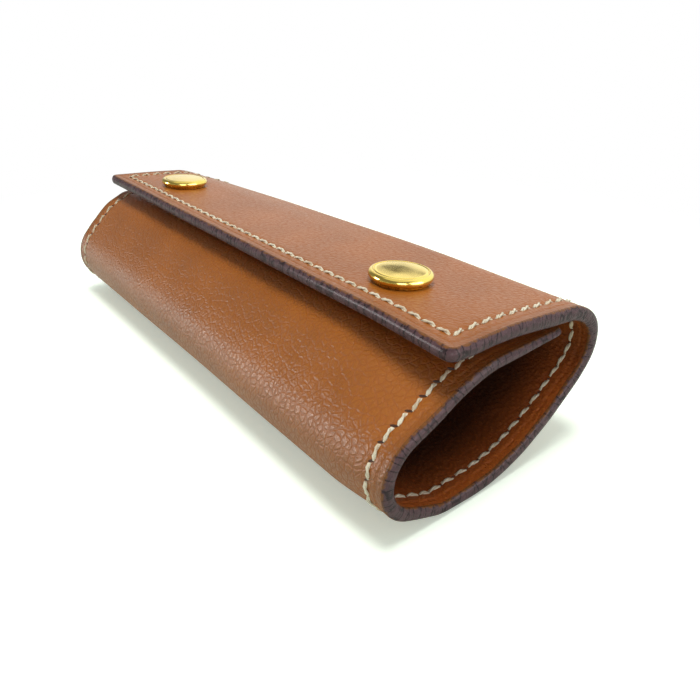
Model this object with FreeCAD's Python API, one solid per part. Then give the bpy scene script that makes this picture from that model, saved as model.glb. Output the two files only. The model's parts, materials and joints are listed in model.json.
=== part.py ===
"""Leather key case, folded in three, with two press snaps and a row of sprung key hooks.

X runs along the case, from one open end to the other. Y runs across it, from the rounded
tuck side to the flap fold. Z is up. The origin is on the surface that the case lies on,
under the middle of its box. Lengths are millimetres and angles are degrees.
"""
import FreeCAD
import Part
import math
import os

from FreeCAD import Placement, Rotation, Vector

# Sheets
case_length = 110.0
case_width = 42.4
leather = 1.1               # outer leather
lining = 1.05               # lining of the back and the flap
tuck_lining = 0.5           # the lining is skived thinner over the tuck
glue = 0.05                 # glue line between leather, lining and hook base
corner_radius = 1.4         # free corners of the flap and the tuck
overrun = 1.0               # how far every cut runs past its face
fit = 0.05                  # radial clearance of pins, stems and rivets in their holes

# Cross-section of the outer face
flap_fold_radius = 8.0
flap_fold_height = 16.5     # centre of the flap fold above the seat
tuck_fold_radius = 7.35
tuck_fold_height = 9.5
seat_width = 8.0            # flat strip that the case lies on
seat_offset = -4.7          # middle of that strip from the middle of the case
back_radius = 15.4          # curve from the seat up to the flap side
front_radius = 8.0          # curve from the seat up to the tuck side
flap_tilt = 4.4             # the flap falls towards its fold
flap_setback = 10.0         # flap's free edge behind the tuck side
tuck_slope = 24.7           # rise of the tuck's front
tuck_bend_radius = 12.0     # from the tuck's slope to its level part
tuck_end_setback = 1.3      # tuck's free edge short of the flap fold's centre
tuck_tip_gap = 0.5          # between that edge and the flap's lining
hinge_shares = (0.25, 0.75)  # where each fold's two bend lines lie along its arc

# Press snaps
snap_end_setback = 19.0     # snaps from the open ends, if the pair were centred
snap_shift = -1.3           # the pair sits a little towards the far end
snap_edge_setback = 10.4    # snaps from the flap's free edge
cap_radius = 5.0
cap_height = 1.8
cap_foot_radius = 4.4       # where the rim meets the leather
cap_crown_radius = 4.4      # where the rim meets the top
cap_groove_width = 0.3
cap_groove_depth = 0.18
cap_dome = 0.14             # rise of the top at its middle
cap_widest_share = 0.45     # height of the widest point of the rim
stem_radius = 1.5
stem_flare_radius = 2.0     # the stem's end, spread inside the socket
stem_flare = 0.25
socket_radius = 3.7
socket_bore_radius = 2.75
socket_plate = 0.4
socket_clearance = 0.25     # between the socket's mouth and the tuck
spring_wire_radius = 0.22
spring_lift = 0.37          # spring ring above the socket's mouth
stud_radius = 1.9
stud_neck_radius = 1.45
stud_crown_radius = 1.2
stud_top_clearance = 0.2    # between the stud and the stem's spread end
stud_flange_radius = 2.4
stud_flange = 0.35
stud_neck_share = 0.45      # heights along the stud
stud_widest_share = 0.75
post_radius = 0.9
post_depth_share = 0.6      # how far up the stud its post reaches
post_flange_radius = 3.0
post_flange = 0.4

# Hook plate and its base
hook_count = 4
hook_pitch = 5.4
hook_row_offset = -4.3      # middle of the row from the middle of the case
row_clearance = 0.25        # hook plate above the lining at the ends of the row
plate_setback = 9.0         # plate's back edge from the far end
plate_length = 10.0         # from that edge to the pin
plate_gauge = 1.0
plate_corner = 1.5
end_knuckle = 1.6
pin_radius = 0.8
base_back = 2.0             # base behind the plate
base_front = 6.0            # base in front of the pin, where the hooks come to rest
rivet_spacing = 9.0
rivet_radius = 0.9
rivet_head_radius = 1.6
rivet_head = 0.7
rivet_tail = 0.5
rivet_place_share = 0.4     # rivets along the plate, from its back edge

# Key hooks
hook_length = 28.0          # from the pin to the end of the bow
hook_width = 4.8
hook_bar = 1.15             # width of the bar round the window
hook_rest_gap = 0.1         # between a hook and the base under it
eye_width = 2.2
eye_gap = 0.15              # between an eye and the knuckles beside it
shank_length = 4.2
palm_flare = 1.8
window_start = 10.5         # from the pin
mouth_length = 7.5          # side opening that the gate closes
gate_gap = 0.15             # round the gate
gate_pivot_setback = 1.7    # pivot behind the window
gate_pin_radius = 0.4
gate_swing = 12.0           # the gate opens inwards by this much

half_length = case_length / 2
half_width = case_width / 2
sheet_depth = leather + glue + lining
tuck_depth = leather + glue + tuck_lining
lining_top = leather + glue
along_x = Vector(1, 0, 0)
along_y = Vector(0, 1, 0)
along_z = Vector(0, 0, 1)


def heading(angle):
    """Direction in the cross-section, at an angle above +Y."""
    return Vector(0, math.cos(math.radians(angle)), math.sin(math.radians(angle)))


def outward(angle):
    """Outward normal of the outer face where the section's path has this heading."""
    return heading(angle + 90)


class Bend:
    """Arc of the outer face, turning clockwise from one heading to another."""

    def __init__(self, centre, radius, begin, end):
        self.centre, self.radius, self.begin, self.end = centre, radius, begin, end

    def point(self, share, depth=0):
        angle = self.begin + (self.end - self.begin) * share
        return self.centre + outward(angle) * (self.radius - depth)

    def part(self, share_from, share_to):
        turn = self.end - self.begin
        return Bend(self.centre, self.radius, self.begin + turn * share_from, self.begin + turn * share_to)

    def edge(self, depth_from, depth_to):
        middle = self.point(1 / 2, (depth_from + depth_to) / 2)
        return Part.Arc(self.point(0, depth_from), middle, self.point(1, depth_to)).toShape()


class Run:
    """Straight stretch of the outer face."""

    def __init__(self, begin, end, angle):
        self.begin, self.end, self.angle = begin, end, angle

    def point(self, share, depth=0):
        return self.begin + (self.end - self.begin) * share - outward(self.angle) * depth

    def edge(self, depth_from, depth_to):
        return Part.LineSegment(self.point(0, depth_from), self.point(1, depth_to)).toShape()


def tangent_heading(centre_a, radius_a, centre_b, radius_b):
    """Heading of the outer tangent from one clockwise circle to the next."""
    gap = centre_b - centre_a
    return math.degrees(math.atan2(gap.z, gap.y) - math.asin((radius_a - radius_b) / gap.Length)) % 360


def run_between(bend_a, bend_b):
    return Run(bend_a.point(1), bend_b.point(0), bend_a.end)


def level_of(run, y):
    """Point of a straight stretch at this Y."""
    slope = heading(run.angle)
    return run.begin + slope * ((y - run.begin.y) / slope.y)


# Path of the outer face, clockwise from the flap's free edge to the tuck's free edge
flap_fold_centre = Vector(0, half_width - flap_fold_radius, flap_fold_height)
tuck_fold_centre = Vector(0, tuck_fold_radius - half_width, tuck_fold_height)
back_centre = Vector(0, seat_offset + seat_width / 2, back_radius)
front_centre = Vector(0, seat_offset - seat_width / 2, front_radius)

back_heading = tangent_heading(flap_fold_centre, flap_fold_radius, back_centre, back_radius)
front_heading = tangent_heading(front_centre, front_radius, tuck_fold_centre, tuck_fold_radius)

flap_fold = Bend(flap_fold_centre, flap_fold_radius, 360 - flap_tilt, back_heading)
back_bend = Bend(back_centre, back_radius, back_heading, 180)
front_bend = Bend(front_centre, front_radius, 180, front_heading)
tuck_fold = Bend(tuck_fold_centre, tuck_fold_radius, front_heading, tuck_slope)

flap_back = flap_fold.point(0)
flap_edge = level_of(Run(flap_back, flap_back, -flap_tilt), flap_setback - half_width)
flap_run = Run(flap_edge, flap_back, -flap_tilt)

# The tuck's level part lies close under the flap's lining at the tuck's free edge
tuck_end_y = flap_fold_centre.y - tuck_end_setback
flap_over_tip = level_of(flap_run, tuck_end_y).z - sheet_depth / math.cos(math.radians(flap_tilt))
tuck_level = flap_over_tip - tuck_tip_gap
slope_foot = tuck_fold.point(1)
slope_top_y = slope_foot.y + (tuck_level - slope_foot.z) / math.tan(math.radians(tuck_slope))
tuck_bend_y = slope_top_y + tuck_bend_radius * math.tan(math.radians(tuck_slope / 2))
tuck_bend = Bend(Vector(0, tuck_bend_y, tuck_level - tuck_bend_radius), tuck_bend_radius, tuck_slope, 0)
tuck_tip = Vector(0, tuck_end_y, tuck_level)

low_share, high_share = hinge_shares
flap_segments = [flap_run, flap_fold.part(0, low_share)]
flap_fold_segments = [flap_fold.part(low_share, high_share)]
back_segments = [
    flap_fold.part(high_share, 1),
    run_between(flap_fold, back_bend),
    back_bend,
    run_between(back_bend, front_bend),
    front_bend,
    run_between(front_bend, tuck_fold),
    tuck_fold.part(0, low_share),
]
tuck_fold_segments = [tuck_fold.part(low_share, high_share)]
tuck_segments = [
    tuck_fold.part(high_share, 1),
    run_between(tuck_fold, tuck_bend),
    tuck_bend,
    Run(tuck_bend.point(1), tuck_tip, 0),
]


def section_face(segments, top, bottom_from, bottom_to):
    """Strip between two depths under the outer face. The lower depth may taper along it."""
    count = len(segments)
    bottoms = [bottom_from + (bottom_to - bottom_from) * i / count for i in range(count + 1)]
    first, last = segments[0], segments[-1]
    edges = [segment.edge(top, top) for segment in segments]
    edges += [segment.edge(bottoms[i], bottoms[i + 1]) for i, segment in enumerate(segments)]
    edges.append(Part.LineSegment(first.point(0, top), first.point(0, bottom_from)).toShape())
    edges.append(Part.LineSegment(last.point(1, top), last.point(1, bottom_to)).toShape())
    return Part.Face(Part.Wire(Part.__sortEdges__(edges)))


def sheet(segments, top, bottom_from, bottom_to):
    """The strip, drawn out from one open end of the case to the other."""
    face = section_face(segments, top, bottom_from, bottom_to)
    face.translate(along_x * -half_length)
    return face.extrude(along_x * case_length)


def corner_cutters(edge_point, inward, normal, depth):
    """Tools that round a panel's two free corners in plan."""
    tools = []
    for end in (-1, 1):
        along = along_x * -end
        corner = edge_point + along_x * (end * half_length) + normal * overrun
        centre = corner + (along + inward) * corner_radius
        middle = centre - (along + inward).normalize() * corner_radius
        side_a = corner + along * corner_radius
        side_b = corner + inward * corner_radius
        out_a = side_a - inward * overrun
        out_b = side_b - along * overrun
        outside = corner - (along + inward) * overrun
        edges = [Part.Arc(side_a, middle, side_b).toShape()]
        edges += Part.makePolygon([side_b, out_b, outside, out_a, side_a]).Edges
        face = Part.Face(Part.Wire(Part.__sortEdges__(edges)))
        tools.append(face.extrude(normal * -(depth + overrun + overrun)))
    return tools


def turned(outline):
    """Solid turned about Z. An entry is a corner (r, z), or an arc (r, z of its middle, then of its end)."""
    corners = [Vector(step[-2], 0, step[-1]) for step in outline]
    edges = []
    for i, step in enumerate(outline):
        begin, end = corners[i - 1], corners[i]
        if len(step) > 2:
            edges.append(Part.Arc(begin, Vector(step[0], 0, step[1]), end).toShape())
        else:
            edges.append(Part.LineSegment(begin, end).toShape())
    return Part.Face(Part.Wire(edges)).revolve(Vector(), along_z, 360)


def dome(radius, level, rise):
    """Outline entry for a round cap of a sphere, from its rim up to its pole on the axis."""
    ball = (radius * radius + rise * rise) / (2 * rise)
    half_turn = math.asin(radius / ball) / 2
    pole = level + rise
    return (ball * math.sin(half_turn), pole - ball * (1 - math.cos(half_turn)), 0, pole)


def rod(radius, length, start, axis):
    return Part.makeCylinder(radius, length, start, axis)


def box_between(low, high):
    size = high - low
    return Part.makeBox(size.x, size.y, size.z, low)


# Places of the snaps
snap_reach = half_length - snap_end_setback
snap_xs = {"near": snap_shift + snap_reach, "far": snap_shift - snap_reach}
snap_seat = flap_edge + heading(-flap_tilt) * snap_edge_setback
flap_normal = outward(-flap_tilt)


def on_flap(shape, x):
    """Set a part made about Z on the flap's outer face at a snap."""
    shape.Placement = Placement(snap_seat + along_x * x, Rotation(along_x, -flap_tilt))
    return shape


snap_gap = snap_seat.z - sheet_depth / math.cos(math.radians(flap_tilt)) - tuck_level
rim_drop = socket_radius * math.tan(math.radians(flap_tilt))
socket_mouth = sheet_depth + snap_gap - socket_clearance - rim_drop
flare_end = leather + socket_plate + stem_flare
stud_height = sheet_depth + snap_gap - flare_end - stud_top_clearance
stud_y = (snap_seat - flap_normal * (sheet_depth + snap_gap - stud_height)).y


def on_tuck(shape, x):
    """Set a part made about Z on the tuck's level face, under a snap."""
    shape.Placement = Placement(Vector(x, stud_y, tuck_level), Rotation())
    return shape


def make_cap():
    """Domed cap with a rolled rim, a ring groove, and its stem spread inside the socket."""
    groove_outer = cap_crown_radius - cap_groove_width
    groove_inner = groove_outer - cap_groove_width
    groove_floor = cap_height - cap_groove_depth
    stem_end = leather + socket_plate
    return turned([
        (0, -flare_end),
        (stem_flare_radius, -flare_end),
        (stem_flare_radius, -stem_end),
        (stem_radius, -stem_end),
        (stem_radius, 0),
        (cap_foot_radius, 0),
        (cap_radius, cap_height * cap_widest_share, cap_crown_radius, cap_height),
        (groove_outer, groove_floor),
        (groove_inner, groove_floor),
        (groove_inner, cap_height),
        dome(groove_inner, cap_height, cap_dome),
    ])


def make_socket():
    """Cup that grips the stud, with a groove for its spring ring."""
    hole = stem_radius + fit
    roof = leather + socket_plate
    groove_radius = socket_bore_radius + spring_wire_radius + fit
    groove_middle = socket_mouth - spring_lift
    groove_half = spring_wire_radius + fit
    return turned([
        (hole, -leather),
        (hole, -roof),
        (socket_bore_radius, -roof),
        (socket_bore_radius, groove_half - groove_middle),
        (groove_radius, groove_half - groove_middle),
        (groove_radius, -groove_half - groove_middle),
        (socket_bore_radius, -groove_half - groove_middle),
        (socket_bore_radius, -socket_mouth),
        (socket_radius, -socket_mouth),
        (socket_radius, -leather),
    ])


def make_spring():
    """Round spring ring in the socket's groove."""
    ring = Part.makeTorus(socket_bore_radius, spring_wire_radius)
    ring.translate(along_z * (spring_lift - socket_mouth))
    return Part.makeCompound([ring])


def make_stud():
    """Mushroom stud, hollow for its post, with a flange let into the tuck's leather."""
    bore = post_radius + fit
    bore_top = stud_height * post_depth_share + fit
    return turned([
        (bore, -stud_flange),
        (stud_flange_radius, -stud_flange),
        (stud_flange_radius, 0),
        (stud_neck_radius, 0),
        (stud_neck_radius, stud_height * stud_neck_share),
        (stud_radius, stud_height * stud_widest_share),
        (stud_crown_radius, stud_height),
        (0, stud_height),
        (0, bore_top),
        (bore, bore_top),
    ])


def make_post():
    """Flanged post that holds the stud from under the tuck."""
    return turned([
        (0, -tuck_depth - post_flange),
        (post_flange_radius, -tuck_depth - post_flange),
        (post_flange_radius, -tuck_depth),
        (post_radius, -tuck_depth),
        (post_radius, stud_height * post_depth_share),
        (0, stud_height * post_depth_share),
    ])


def make_flap():
    """Outer leather and lining of the flap, with holes for the caps' stems and the sockets."""
    tools = corner_cutters(flap_edge, heading(-flap_tilt), flap_normal, sheet_depth)
    stem_tools = []
    socket_tools = []
    stem_length = lining_top + overrun
    socket_length = glue + lining + overrun
    for x in snap_xs.values():
        stem_tools.append(on_flap(rod(stem_radius + fit, stem_length, along_z * -lining_top, along_z), x))
        socket_tools.append(on_flap(rod(socket_radius + fit, socket_length, along_z * -leather, -along_z), x))
    outer = sheet(flap_segments, 0, leather, leather).cut(tools + stem_tools)
    inner = sheet(flap_segments, lining_top, sheet_depth, sheet_depth).cut(tools + socket_tools)
    return outer, inner


def make_tuck():
    """Outer leather and lining of the tuck, with holes for the studs and seats for their posts."""
    tools = corner_cutters(tuck_tip, -along_y, along_z, tuck_depth)
    flanges = []
    underside = along_z * -tuck_depth
    for x in snap_xs.values():
        tools.append(on_tuck(rod(post_radius + fit, tuck_depth + overrun, underside, along_z), x))
        tools.append(on_tuck(rod(post_flange_radius + fit, post_flange + overrun, underside, -along_z), x))
        flange_tool = rod(stud_flange_radius + fit, stud_flange + overrun, along_z * -stud_flange, along_z)
        flanges.append(on_tuck(flange_tool, x))
    outer = sheet(tuck_segments, 0, leather, leather).cut(tools + flanges)
    inner = sheet(tuck_segments, lining_top, tuck_depth, tuck_depth).cut(tools)
    return outer, inner


# Hook row, set level over the curved lining
pin_x = plate_setback + plate_length - half_length
plate_back = plate_setback - half_length
plate_width = (hook_count - 1) * hook_pitch + eye_width + 2 * (eye_gap + end_knuckle)
row_low = hook_row_offset - plate_width / 2
row_high = hook_row_offset + plate_width / 2
hook_ys = [hook_row_offset + hook_pitch * (i - (hook_count - 1) / 2) for i in range(hook_count)]
hollow_edges = [segment.edge(sheet_depth + glue, sheet_depth + glue) for segment in back_segments]
hollow_chord = [back_segments[0].point(0, sheet_depth + glue), back_segments[-1].point(1, sheet_depth + glue)]
hollow_edges += Part.makePolygon(hollow_chord).Edges
hollow_face = Part.Face(Part.Wire(Part.__sortEdges__(hollow_edges)))


def floor_at(y):
    """Height of the back's lining at this Y, with the glue line on it."""
    upright = Part.makeLine(Vector(0, y, 0), Vector(0, y, flap_fold_height))
    return upright.common(hollow_face).BoundBox.ZMin


barrel_radius = pin_radius + fit + plate_gauge
eye_radius = barrel_radius - hook_rest_gap
hook_gauge = plate_gauge - hook_rest_gap
base_top = max(floor_at(row_low), floor_at(row_high)) + row_clearance
pin_z = base_top + barrel_radius
hook_bottom = pin_z - eye_radius
rivet_x = plate_back + plate_length * rivet_place_share
rivet_ys = [hook_row_offset + side * rivet_spacing / 2 for side in (-1, 1)]


def tail_bottom(y):
    """Lowest level of a rivet's tail, clear of the curved lining under it."""
    return max(floor_at(y - rivet_head_radius), floor_at(y + rivet_head_radius))


def make_hook_base():
    """Leather block under the hook plate, level on top and shaped to the lining below."""
    low = Vector(plate_back - base_back, row_low, 0)
    high = Vector(pin_x + base_front, row_high, base_top)
    hollow = hollow_face.copy()
    hollow.translate(along_x * -half_length)
    base = box_between(low, high).common(hollow.extrude(along_x * case_length))
    for y in rivet_ys:
        middle = Vector(rivet_x, y, 0)
        base = base.cut(rod(rivet_radius + fit, base_top + overrun, middle, along_z))
        base = base.cut(rod(rivet_head_radius + fit, tail_bottom(y) + rivet_tail, middle, along_z))
    return base


def make_hook_plate():
    """Plate whose front edge is rolled into knuckles for the pin."""
    flat = box_between(Vector(plate_back, row_low, base_top), Vector(pin_x, row_high, base_top + plate_gauge))
    back_corners = [
        edge for edge in flat.Edges
        if edge.BoundBox.XMax < pin_x and edge.BoundBox.ZLength > edge.BoundBox.YLength
    ]
    flat = flat.makeFillet(plate_corner, back_corners)
    axis_end = Vector(pin_x, row_low, pin_z)
    plate = flat.fuse(rod(barrel_radius, plate_width, axis_end, along_y))
    axis_out = axis_end - along_y * overrun
    plate = plate.cut(rod(pin_radius + fit, plate_width + overrun + overrun, axis_out, along_y))
    slot_half = eye_width / 2 + eye_gap
    for y in hook_ys:
        low = Vector(pin_x - eye_radius - eye_gap, y - slot_half, base_top - overrun)
        high = Vector(pin_x + barrel_radius + overrun, y + slot_half, pin_z + barrel_radius + overrun)
        plate = plate.cut(box_between(low, high))
    for y in rivet_ys:
        start = Vector(rivet_x, y, base_top - overrun)
        plate = plate.cut(rod(rivet_radius + fit, plate_gauge + overrun + overrun, start, along_z))
    return plate.removeSplitter()


def make_rivets():
    """Two domed rivets that hold the plate to its base."""
    rivets = []
    for y in rivet_ys:
        bottom = tail_bottom(y)
        shoulder = base_top + plate_gauge
        rivet = turned([
            (0, bottom),
            (rivet_head_radius, bottom),
            (rivet_head_radius, bottom + rivet_tail),
            (rivet_radius, bottom + rivet_tail),
            (rivet_radius, shoulder),
            (rivet_head_radius, shoulder),
            dome(rivet_head_radius, shoulder, rivet_head),
        ])
        rivet.translate(Vector(rivet_x, y, 0))
        rivets.append(rivet)
    return Part.makeCompound(rivets)


def make_hook_pin():
    return rod(pin_radius, plate_width, Vector(pin_x, row_low, pin_z), along_y)


def plan_prism(points, bottom, height):
    """Prism on a plan outline of corners (x, y)."""
    corners = [Vector(x, y, bottom) for x, y in points]
    return Part.Face(Part.makePolygon(corners + corners[:1])).extrude(along_z * height)


# A hook is drawn with its pin along Y through x = 0, and its gate on the +Y side
hook_half = hook_width / 2
gate_inner = hook_half - hook_bar
gate_pivot = Vector(window_start - gate_pivot_setback, gate_inner, 0)
gate_root_radius = hook_bar
lap = hook_bottom + hook_gauge / 2
mouth_end = window_start + mouth_length


def make_gate(grow=0):
    """Sprung gate: a bar across the hook's mouth, half lapped over the palm at its pivot."""
    arm_low = Vector(window_start + gate_gap - grow, gate_inner - grow, hook_bottom)
    arm_high = Vector(mouth_end - gate_gap + grow, hook_half + grow, hook_bottom + hook_gauge)
    lap_low = Vector(gate_pivot.x, gate_inner - grow, lap)
    root = rod(gate_root_radius + grow, hook_gauge / 2, gate_pivot + along_z * lap, along_z)
    gate = box_between(arm_low, arm_high).fuse([box_between(lap_low, arm_high), root])
    return gate.removeSplitter()


def make_hook():
    """Flat hook: rolled eye, shank, palm, and a long bow round its window, open at one side."""
    half_eye = eye_width / 2
    bow_x = hook_length - hook_half
    flare_x = shank_length + palm_flare
    outline = [
        (0, -half_eye), (shank_length, -half_eye), (flare_x, -hook_half), (bow_x, -hook_half),
        (bow_x, hook_half), (flare_x, hook_half), (shank_length, half_eye), (0, half_eye),
    ]
    level = along_z * hook_bottom
    hook = plan_prism(outline, hook_bottom, hook_gauge)
    hook = hook.fuse(rod(hook_half, hook_gauge, along_x * bow_x + level, along_z))
    hook = hook.fuse(rod(eye_radius, eye_width, Vector(0, -half_eye, pin_z), along_y))
    bore_start = Vector(0, -half_eye - overrun, pin_z)
    hook = hook.cut(rod(pin_radius + fit, eye_width + overrun + overrun, bore_start, along_y))
    under = hook_bottom - overrun
    through = hook_gauge + overrun + overrun
    window = [
        (window_start, -gate_inner), (bow_x, -gate_inner),
        (bow_x, gate_inner), (window_start, gate_inner),
    ]
    mouth = [
        (window_start, 0), (mouth_end, 0),
        (mouth_end, hook_half + overrun), (window_start, hook_half + overrun),
    ]
    hook = hook.cut(plan_prism(window, under, through))
    hook = hook.cut(rod(gate_inner, through, Vector(bow_x, 0, under), along_z))
    hook = hook.cut(plan_prism(mouth, under, through))
    for turn_share in (0, 1 / 2, 1):
        pocket = make_gate(gate_gap)
        pocket.rotate(gate_pivot, -along_z, gate_swing * turn_share)
        pocket_room = box_between(
            Vector(0, -hook_half, lap),
            Vector(window_start + overrun, hook_half + overrun, hook_bottom + hook_gauge + overrun),
        )
        hook = hook.cut(pocket.common(pocket_room))
    hook = hook.cut(rod(gate_pin_radius + fit, through, gate_pivot + along_z * under, along_z))
    return hook.removeSplitter()


def make_gate_pin():
    return rod(gate_pin_radius, hook_gauge, gate_pivot + along_z * hook_bottom, along_z)


def drill_gate(gate):
    start = gate_pivot + along_z * (hook_bottom - overrun)
    return gate.cut(rod(gate_pin_radius + fit, hook_gauge + overrun + overrun, start, along_z))


def at_row(shape, y):
    placed = shape.copy()
    placed.translate(Vector(pin_x, y, 0))
    return placed


def build():
    """Every piece of the case, by name."""
    pieces = {}
    pieces["back_leather"] = sheet(back_segments, 0, leather, leather)
    pieces["back_lining"] = sheet(back_segments, lining_top, sheet_depth, sheet_depth)
    pieces["flap_fold_leather"] = sheet(flap_fold_segments, 0, leather, leather)
    pieces["flap_fold_lining"] = sheet(flap_fold_segments, lining_top, sheet_depth, sheet_depth)
    pieces["flap_leather"], pieces["flap_lining"] = make_flap()
    pieces["tuck_fold_leather"] = sheet(tuck_fold_segments, 0, leather, leather)
    pieces["tuck_fold_lining"] = sheet(tuck_fold_segments, lining_top, sheet_depth, tuck_depth)
    pieces["tuck_leather"], pieces["tuck_lining"] = make_tuck()
    for end, x in snap_xs.items():
        pieces[end + "_snap_cap"] = on_flap(make_cap(), x)
        pieces[end + "_snap_socket"] = on_flap(make_socket(), x)
        pieces[end + "_snap_spring"] = on_flap(make_spring(), x)
        pieces[end + "_snap_stud"] = on_tuck(make_stud(), x)
        pieces[end + "_snap_post"] = on_tuck(make_post(), x)
    pieces["hook_base"] = make_hook_base()
    pieces["hook_plate"] = make_hook_plate()
    pieces["plate_rivets"] = make_rivets()
    pieces["hook_pin"] = make_hook_pin()
    hook = make_hook()
    gate = drill_gate(make_gate())
    gate_pin = make_gate_pin()
    for i, y in enumerate(hook_ys):
        number = str(i + 1)
        pieces["key_hook_" + number] = at_row(hook, y)
        pieces["hook_gate_" + number] = at_row(gate, y)
        pieces["gate_pin_" + number] = at_row(gate_pin, y)
    return pieces


def report(pieces):
    """Print the places that a drawing of the case would give."""
    for name, fold in (("flap fold", flap_fold), ("tuck fold", tuck_fold)):
        for share in hinge_shares:
            line = fold.point(share)
            print(name, "bend line at y", round(line.y, 3), "z", round(line.z, 3))
    print("hook pin at x", round(pin_x, 3), "z", round(pin_z, 3))
    print("hooks at y", [round(y, 3) for y in hook_ys])
    print("gate pivots at x", round(pin_x + gate_pivot.x, 3), "and y of the hook +", round(gate_pivot.y, 3))
    print("tuck level", round(tuck_level, 3), "gap at the snaps", round(snap_gap, 3))
    for name, shape in pieces.items():
        sound = "valid" if shape.isValid() else "NOT VALID"
        print(name, len(shape.Solids), "solid", sound, round(shape.Volume, 2))


if __name__ == "__main__":
    os.makedirs("parts", exist_ok=True)
    case_pieces = build()
    for node, solid in case_pieces.items():
        solid.exportStep("parts/" + node + ".step")
    report(case_pieces)
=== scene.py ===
"""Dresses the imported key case: grained calf, lining, painted edges, linen thread, gilt snaps, hooks.

Laid out as an add-on and run as a script. Lengths are metres in the part's own frame: X along
the case, Y across it from the tuck side to the flap fold, Z up.
"""
import json
import math
from collections import namedtuple

import bmesh
import bpy
import numpy as np
from bpy.props import FloatProperty, FloatVectorProperty, IntProperty, PointerProperty
from mathutils import Matrix, Vector

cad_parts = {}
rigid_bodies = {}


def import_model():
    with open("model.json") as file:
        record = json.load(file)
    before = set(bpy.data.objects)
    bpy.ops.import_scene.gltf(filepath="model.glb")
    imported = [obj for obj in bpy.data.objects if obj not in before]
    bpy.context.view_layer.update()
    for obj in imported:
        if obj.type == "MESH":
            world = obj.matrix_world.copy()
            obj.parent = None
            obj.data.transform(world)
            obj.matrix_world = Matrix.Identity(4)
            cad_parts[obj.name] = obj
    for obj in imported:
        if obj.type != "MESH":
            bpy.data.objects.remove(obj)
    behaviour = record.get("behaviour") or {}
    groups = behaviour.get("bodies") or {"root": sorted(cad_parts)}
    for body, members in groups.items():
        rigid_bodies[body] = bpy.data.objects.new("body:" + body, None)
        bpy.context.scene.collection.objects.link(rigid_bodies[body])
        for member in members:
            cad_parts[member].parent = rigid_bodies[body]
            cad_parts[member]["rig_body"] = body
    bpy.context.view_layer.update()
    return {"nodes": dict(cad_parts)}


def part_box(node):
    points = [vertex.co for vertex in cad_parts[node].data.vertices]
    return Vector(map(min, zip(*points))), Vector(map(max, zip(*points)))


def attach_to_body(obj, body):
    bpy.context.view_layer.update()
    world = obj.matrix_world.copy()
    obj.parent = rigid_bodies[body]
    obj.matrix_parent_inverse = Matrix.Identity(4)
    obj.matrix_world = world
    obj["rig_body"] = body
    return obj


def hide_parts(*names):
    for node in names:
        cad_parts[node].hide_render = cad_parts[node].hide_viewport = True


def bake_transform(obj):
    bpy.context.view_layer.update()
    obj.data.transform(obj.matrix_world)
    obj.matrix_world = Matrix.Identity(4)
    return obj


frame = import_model()

bl_info = {
    "name": "Key case",
    "version": (1, 0, 0),
    "blender": (4, 5, 0),
    "location": "View3D > Sidebar > Key case",
    "description": "Leather key case with two snaps, built around its packed frame",
    "category": "Object",
}

mm = 0.001

# Sizes of the sheets, as the part's source has them
half_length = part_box("back_leather")[1].x
fold_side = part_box("flap_fold_leather")[1].y
tuck_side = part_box("tuck_fold_leather")[0].y
leather = 1.1 * mm
sheet_depth = 2.2 * mm
corner_radius = 1.4 * mm
flap_fold_radius = 8.0 * mm
flap_fold_height = 16.5 * mm
tuck_fold_radius = 7.35 * mm
tuck_fold_height = 9.5 * mm
seat_width = 8.0 * mm
seat_offset = -4.7 * mm
back_radius = 15.4 * mm
front_radius = 8.0 * mm
flap_tilt = 4.4
flap_setback = 10.0 * mm
tuck_slope = 24.7
tuck_bend_radius = 12.0 * mm
tuck_end_setback = 1.3 * mm
tuck_tip_gap = 0.5 * mm
snap_edge_setback = 10.4 * mm
socket_radius = 3.75 * mm

# Thickness of the sheet along the section: skived towards both free edges, and thinner where the
# bottom turns up to the tuck fold
thickness_line = np.array([(0, 1.9), (10, 1.95), (20, 2.2), (69, 2.2), (73, 1.9), (76, 1.7), (79, 1.78),
                           (83, 2.0), (92, 1.95), (99, 1.85), (110, 1.75), (116, 1.65), (119.5, 1.62),
                           (129.2, 1.15)]) * mm

# How far the worn leather stands out at the near end, along the section
near_set = np.array([(0, -0.4), (4, -0.35), (8, -0.05), (12, 0.1), (22, 0), (28.5, -0.1), (35, 0.65),
                     (38.5, 0.5), (42, 0), (47, 0.15), (51.5, 0.25), (56, -0.1), (60.5, -0.4), (64, -0.25),
                     (67, 0.1), (69.5, 0.22), (72, 0.12), (74.5, 0), (77.5, 0.02), (80.5, 0.12), (84, 0.13),
                     (91, 0.22), (97, 0), (100, -0.1), (103, -0.2), (108, 0), (113, -0.25), (117, -0.1),
                     (129.5, 0)]) * mm

# Stretches of the section where wear has changed the form: beginning, length of the rise, end and
# length of the fall. The bulge is counted from the tuck fold's end, the belly from its beginning.
bulge_stretch = np.array([-3, 9, 15, 6]) * mm
belly_stretch = np.array([-4, 7, 15, 11]) * mm
back_stretch = np.array([22, 8, 99, 9]) * mm

# Where the bulge ends along the case, and the lengths over which bulge and belly fade out
bulge_end = 57 * mm
bulge_fade = 24 * mm
belly_fade = 12 * mm

# Middle and width of the flap's dome along the section, and depth of the leather's ripples
dome_place = 12 * mm
dome_width = 6 * mm
ripple_depth = 0.05 * mm

# Where the near end's own set begins along the case, on the front and on the back
front_set_from = 39 * mm
back_set_from = 2 * mm

# Where the flap fold begins to sink: along the case, across it and in height
droop_from = 30 * mm
droop_run = 82 * mm
droop_most = 1.1
droop_power = 1.4
droop_side = 5.5 * mm
droop_height = 10 * mm
droop_blend = 11 * mm

# Widths of the marks along an edge, and the share of their depth that shows on the lining
crease_width = 0.17 * mm
channel_width = 0.5 * mm
hole_width = 0.42 * mm
lining_round = 0.8

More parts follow.
